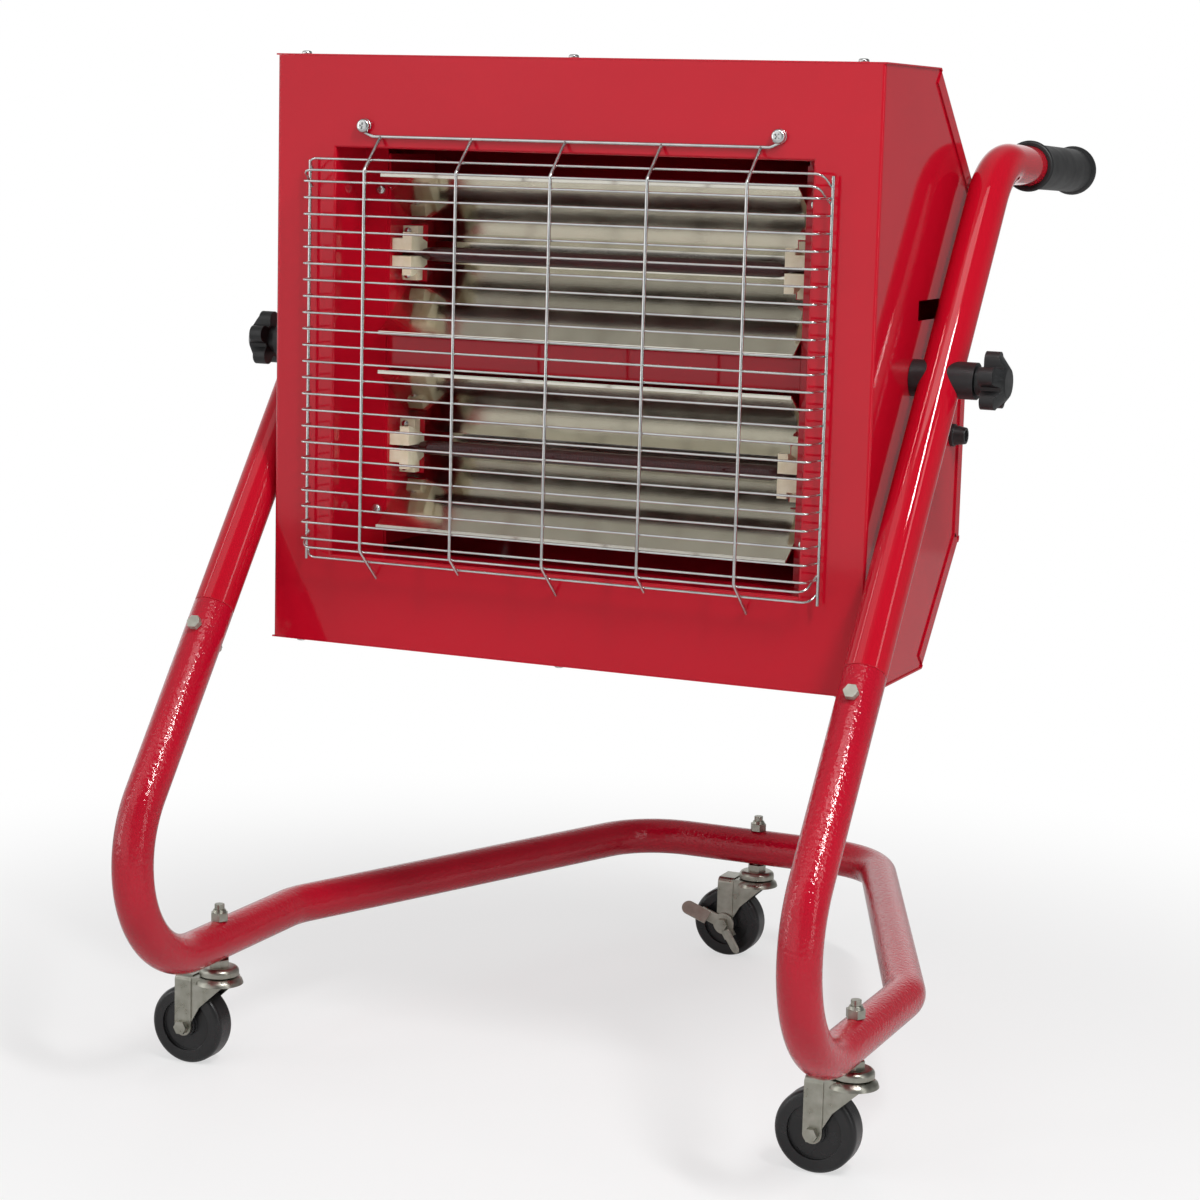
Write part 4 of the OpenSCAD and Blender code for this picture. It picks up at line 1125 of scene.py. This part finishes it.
@dataclass
class Fasteners:
    """All the cross-recessed screws of the cabinet, guard and lamp unit."""

    cabinet: Cabinet
    guard: WireGuard
    large_head: Point2 = (11.0, 3.6)
    small_head: Point2 = (8.0, 2.6)
    shell_x: float = 228.0
    shell_depth: float = 10.0
    bracket_in: float = 4.0
    bracket_h: float = 127.0
    guard_spin: Point2 = (20.0, 30.0)
    shell_spin: Point2 = (9.0, 17.0)
    bracket_spin: float = 31.0

    @staticmethod
    def turned(axis: Vector, spin_deg: float) -> Vector:
        """Returns the Euler turn that points a head along an axis, spun about it."""
        turn = axis.to_track_quat("Z", "Y").to_matrix() @ Matrix.Rotation(math.radians(spin_deg), 3, "Z")
        return Vector(turn.to_euler())

    def build(self) -> None:
        """Makes every group of screws, each screw spun as it came to rest."""
        cab, guard = self.cabinet, self.guard
        front, up, down = Vector((0, -1, 0)), Vector((0, 0, 1)), Vector((0, 0, -1))
        start, step = self.guard_spin
        guard_at = [(cab.at(s * guard.screw_x, -guard.stay_d - cab.lap_gap, guard.eye_h),
                     self.turned(front, start + step * s)) for s in (-1, 1)]
        start, step = self.shell_spin
        shell_at = [(cab.at(x * self.shell_x, self.shell_depth, h), self.turned(axis, step * x + start))
                    for x in (-1, 0, 1) for h, axis in ((cab.height, up), (0.0, down))]
        bracket_x = cab.open_w / 2 - cab.inner_flange / 2 - self.bracket_in
        bracket_at = [(cab.at(s * bracket_x, cab.open_return - cab.sheet, cab.height / 2 + h),
                       self.turned(front, h + self.bracket_spin * s))
                      for s in (-1, 1) for h in (-self.bracket_h, self.bracket_h)]
        PanScrews("guard_screws", self.large_head, guard_at).build()
        PanScrews("cabinet_screws", self.small_head, shell_at).build()
        PanScrews("bracket_screws", self.small_head, bracket_at).build()


@dataclass
class LampUnit:
    """The two ruby lamps with their filaments."""

    cabinet: Cabinet
    lamp_pitch: float = 154.0
    lamp_d: float = 12.0
    lamp_depth: float = 70.0
    wall_x: float = 174.0
    holder_w: float = 17.0
    end_gap: float = 2.0
    pinch: Point3 = (13.0, 7.0, 3.4)
    overlap: float = 1.0
    cap_len: float = 6.0
    cap_out: float = 2.0
    cap_sides: int = 20
    pinch_edge: float = 0.4
    edge_faces: int = 2
    pinch_deg: float = 50.0
    neck: tuple[Point2, ...] = ((0.0, 0.5), (0.6, 0.62), (3.0, 0.76), (6.0, 0.91), (8.5, 0.98), (11.0, 1.0))
    glass_sides: int = 32
    coil_r: float = 1.7
    coil_turns: int = 120
    coil_steps: int = 8
    coil_in: float = 12.0
    wire_r: float = 0.3
    wire_sides: int = 5

    def __post_init__(self) -> None:
        """Works out half the length of the glass."""
        self.half = self.wall_x - self.holder_w - self.end_gap

    def envelope(self, h: float) -> Run:
        """Draws the quartz tube, drawn in at both ends.

        Args:
            h: The lamp's height.

        Returns:
            Its axis and the radius at each point.
        """
        ends = [(self.half - back, k) for back, k in self.neck]
        rows = [(-x, k) for x, k in ends] + ends[::-1]
        r = self.lamp_d / 2
        return [self.cabinet.at(x, self.lamp_depth, h) for x, _ in rows], [r * k for _, k in rows]

    def pinches(self, h: float) -> Mesh:
        """Makes the flat pinch and the round cap at both ends of a lamp.

        Args:
            h: The lamp's height.

        Returns:
            One mesh with all four.
        """
        long, wide, thick = self.pinch
        size = Matrix.Diagonal((*(Vector((long + self.overlap, wide, thick)) * MM), 1))
        lying = Matrix.Rotation(math.pi / 2, 4, "Y")
        cap_r = thick / 2 * MM
        work = bmesh.new()
        for s in (-1, 1):
            at = self.cabinet.at(s * (self.half + (long - self.overlap) / 2), self.lamp_depth, h)
            bmesh.ops.create_cube(work, size=1.0, matrix=Matrix.Translation(at) @ size)
            at = self.cabinet.at(s * (self.half + long + self.cap_out), self.lamp_depth, h)
            bmesh.ops.create_cone(work, cap_ends=True, segments=self.cap_sides, radius1=cap_r, radius2=cap_r,
                                  depth=self.cap_len * MM, matrix=Matrix.Translation(at) @ lying)
        bmesh.ops.bevel(work, geom=list(work.edges), offset=self.pinch_edge * MM,
                        segments=self.edge_faces, affect="EDGES", profile=0.5)
        return shade(mesh_of("pinches", work), self.pinch_deg)

    def coil(self, h: float) -> Path:
        """Draws the coiled filament.

        Args:
            h: The lamp's height.

        Returns:
            The wire's path.
        """
        half = self.half - self.coil_in
        steps = self.coil_turns * self.coil_steps
        made = []
        for k in range(steps + 1):
            a = 2 * math.pi * k / self.coil_steps
            made.append(self.cabinet.at(-half + 2 * half * k / steps,
                                        self.lamp_depth + self.coil_r * math.cos(a),
                                        h + self.coil_r * math.sin(a)))
        return made

    def build(self) -> None:
        """Makes both lamps and dresses them."""
        for name, sign in (("upper_lamp", 1), ("lower_lamp", -1)):
            h = self.cabinet.height / 2 + sign * self.lamp_pitch / 2
            sweep_piece(name + "_quartz", [self.envelope(h)], self.glass_sides, RUBY_QUARTZ, "head", [name])
            wire = [(self.coil(h), self.wire_r)]
            sweep_piece(name + "_filament", wire, self.wire_sides, TUNGSTEN, "head")
            piece(name + "_pinches", self.pinches(h), RUBY_QUARTZ, "head")


@dataclass(frozen=True)
class EdgedGroup:
    """CAD nodes of one finish whose edges are rounded."""

    nodes: tuple[str, ...]
    finish: Finish
    width: float
    segments: int = 2

    def build(self) -> None:
        """Copies, rounds and dresses each node."""
        bodies = frame["record"]["behaviour"]["bodies"]
        for node in self.nodes:
            body = next(b for b, members in bodies.items() if node in members)
            piece(node + "_edged", edged_copy(node, self.width, self.segments), self.finish, body, [node])


CASTERS = ("front_left", "front_right", "rear")

EDGED = (
    EdgedGroup(("left_end_bracket", "right_end_bracket", "centre_strip"), GLOSS_ENAMEL, 0.45),
    EdgedGroup(("upper_reflector", "lower_reflector"), ROLLED_ALUMINIUM, 0.2),
    EdgedGroup(("lamp_holders", "terminal_block"), STEATITE, 0.9, 3),
    EdgedGroup(("holder_screws",), CHROME_WIRE, 0.15),
    EdgedGroup(("left_grip", "right_grip"), GRIP_VINYL, 0.6),
    EdgedGroup(("left_knob", "right_knob"), GLASS_NYLON, 1.2, 3),
    EdgedGroup(("inner_saddles", "outer_saddles"), GLASS_NYLON, 0.8, 3),
    EdgedGroup(("cable_gland", "gland_nut", "switch_housings", "tip_switch"), GLASS_NYLON, 0.4),
    EdgedGroup(("upper_lamp_rocker", "lower_lamp_rocker"), GLASS_NYLON, 0.6, 3),
    EdgedGroup(("joint_nuts", "caster_nuts", "caster_stems", "pivot_studs"), ZINC_PLATE, 0.35),
    EdgedGroup(tuple(c + "_fork" for c in CASTERS), ZINC_PLATE, 0.6),
    EdgedGroup(tuple(c + "_axle" for c in CASTERS), ZINC_PLATE, 0.35),
    EdgedGroup(("joint_bolts",), TUMBLED_ZINC, 0.35),
    EdgedGroup(("brake_lever",), TUMBLED_ZINC, 0.4),
    EdgedGroup(tuple(c + "_wheel" for c in CASTERS), WHEEL_POLYMER, 0.5),
)


@dataclass(frozen=True)
class SoftBox:
    """A rectangular lamp of the studio, its places and sizes in metres.

    One that is not mirrored gives light, but shiny surfaces don't show it.
    """

    name: str
    at: Point3
    aim: Point3
    size: Point2
    watts: float
    mirrored: bool = True

    def build(self) -> None:
        """Hangs the lamp and turns it to its aim."""
        data = bpy.data.lights.new(self.name, "AREA")
        data.shape = "RECTANGLE"
        data.size, data.size_y = self.size
        data.energy = self.watts
        made = linked(self.name, data)
        made.visible_glossy = self.mirrored
        made.location = self.at
        made.rotation_euler = (Vector(self.aim) - Vector(self.at)).to_track_quat("-Z", "Y").to_euler()


# A small key, soft boxes, two strips, and a bright narrow lamp for the sparkle on the right leg
LAMPS = (
    SoftBox("key_lamp", (-1.25, -2.5, 0.95), (0, -0.1, 0.5), (0.3, 0.3), 5, mirrored=False),
    SoftBox("fill_softbox", (1.5, -2.3, 0.75), (-0.15, -0.1, 0.58), (0.5, 0.5), 9, mirrored=False),
    SoftBox("top_softbox", (0.4, -1.0, 2.5), (0.1, -0.2, 0.5), (1.2, 0.8), 8),
    SoftBox("rear_softbox", (-1.6, 2.2, 1.8), (0, 0.1, 0.4), (1.2, 1.2), 10, mirrored=False),
    SoftBox("front_card", (-1.05, -2.05, 2.25), (0, -0.1, 0.6), (1.6, 1.3), 5),
    SoftBox("left_strip", (-2.0, -1.5, 1.1), (0, 0, 0.6), (0.22, 2.0), 5),
    SoftBox("right_strip", (2.3, -0.9, 1.1), (0.2, 0, 0.6), (0.3, 2.0), 6),
    SoftBox("spark_lamp", (1.36, -1.16, 2.26), (0.27, -0.17, 0.37), (0.18, 0.8), 33),
)


@dataclass
class Studio:
    """The camera, the floor, the room and the lights."""

    camera_at: Point3 = (914.9, -2140.35, 751.2)
    yaw_deg: float = 23.783
    pitch_deg: float = 9.114
    roll_deg: float = 1.5
    lens_mm: float = 87.0
    sensor_mm: float = 36.0
    clip_m: Point2 = (0.05, 60.0)
    floor_m: float = 3.0
    floor_colour: str = "E6E6E6"
    floor_rough: float = 0.9
    floor_shine: float = 0.1
    fade_m: Point2 = (0.4, 1.1)
    fade_share: Point2 = (0.6, 1.0)
    mirrored_floor: float = 0.45
    mirrored_share: float = 0.6
    soft_light: float = 0.35
    ceiling: float = 0.4
    ceiling_span: Point2 = (0.15, 0.6)
    camera_side: float = 0.28
    camera_span: Point2 = (-0.2, 0.25)

    def camera(self) -> None:
        """Sets the camera where the photograph was taken from."""
        data = bpy.data.cameras.new("studio_camera")
        data.lens, data.sensor_width = self.lens_mm, self.sensor_mm
        data.clip_start, data.clip_end = self.clip_m
        made = linked("studio_camera", data)
        place = Matrix.Translation(point(*self.camera_at))
        for angle, axis in ((self.yaw_deg, "Z"), (90 - self.pitch_deg, "X"), (self.roll_deg, "Z")):
            place = place @ Matrix.Rotation(math.radians(angle), 4, axis)
        made.matrix_world = place
        bpy.context.scene.camera = made

    def floor(self) -> None:
        """Lays a pale floor that fades to white away from the heater and keeps its shadow."""
        mesh = bpy.data.meshes.new("studio_floor")
        r = self.floor_m
        mesh.from_pydata([(-r, -r, 0), (r, -r, 0), (r, r, 0), (-r, r, 0)], [], [(0, 1, 2, 3)])
        made = linked("studio_floor", mesh)
        paint = bpy.data.materials.new("white_studio_floor")
        paint.use_nodes = True
        tree = paint.node_tree
        matt = feed(tree.nodes["Principled BSDF"], {
            "Base Color": linear(self.floor_colour), "Roughness": self.floor_rough,
            "Specular IOR Level": self.floor_shine})
        place = add_node(tree, "ShaderNodeTexCoord").outputs["Object"]
        away = add_node(tree, "ShaderNodeVectorMath", {0: place}, operation="LENGTH")
        fade = eased(tree, away.outputs["Value"], self.fade_m, self.fade_share)
        rays = add_node(tree, "ShaderNodeLightPath").outputs
        seen = rays["Is Camera Ray"]
        mirrored = math_node(tree, "MAXIMUM", rays["Is Glossy Ray"], rays["Is Transmission Ray"])
        shown = math_node(tree, "MULTIPLY_ADD", mirrored, self.mirrored_share, seen, clamp=True)
        glow = math_node(tree, "MULTIPLY_ADD", seen, 1 - self.mirrored_floor, self.mirrored_floor)
        white = add_node(tree, "ShaderNodeEmission", {"Color": WHITE, "Strength": glow})
        mixed = add_node(tree, "ShaderNodeMixShader", {
            0: math_node(tree, "MULTIPLY", fade, shown), 1: matt.outputs["BSDF"], 2: white.outputs["Emission"]})
        feed(tree.nodes["Material Output"], {"Surface": mixed.outputs["Shader"]})
        mesh.materials.append(paint)

    def room(self) -> None:
        """Makes the room white to the eye, dimmer in mirrors, with a plain soft light of its own."""
        world = bpy.data.worlds.new("studio_room")
        bpy.context.scene.world = world
        world.use_nodes = True
        tree = world.node_tree
        rays = add_node(tree, "ShaderNodeLightPath").outputs
        seen = rays["Is Camera Ray"]
        shown = math_node(tree, "MAXIMUM", math_node(tree, "MAXIMUM", seen, rays["Is Glossy Ray"]),
                          rays["Is Transmission Ray"])
        soft = feed(tree.nodes["Background"], {"Color": WHITE, "Strength": self.soft_light})
        way = add_node(tree, "ShaderNodeTexCoord").outputs["Generated"]
        parts = add_node(tree, "ShaderNodeSeparateXYZ", {0: way}).outputs
        above = eased(tree, parts["Z"], self.ceiling_span, (1.0, self.ceiling))
        right = eased(tree, parts["X"], self.camera_span, (1.0, self.camera_side))
        lit = math_node(tree, "MAXIMUM", seen, math_node(tree, "MULTIPLY", above, right))
        white = add_node(tree, "ShaderNodeBackground", {"Color": WHITE, "Strength": lit})
        mixed = add_node(tree, "ShaderNodeMixShader", {
            0: shown, 1: soft.outputs["Background"], 2: white.outputs["Background"]})
        feed(tree.nodes["World Output"], {"Surface": mixed.outputs["Shader"]})

    def build(self) -> None:
        """Sets up the whole studio."""
        self.camera()
        self.floor()
        self.room()
        for lamp in LAMPS:
            lamp.build()
        bpy.context.scene.view_settings.view_transform = "Standard"


def main() -> None:
    """Builds the heater's pieces and the studio."""
    logging.basicConfig(level=logging.INFO, format="%(message)s")
    Studio().build()
    cabinet = Cabinet()
    guard = WireGuard(cabinet)
    TubeStand().build()
    cabinet.build()
    guard.build()
    Fasteners(cabinet, guard).build()
    LampUnit(cabinet).build()
    for group in EDGED:
        group.build()


if __name__ == "__main__":
    main()
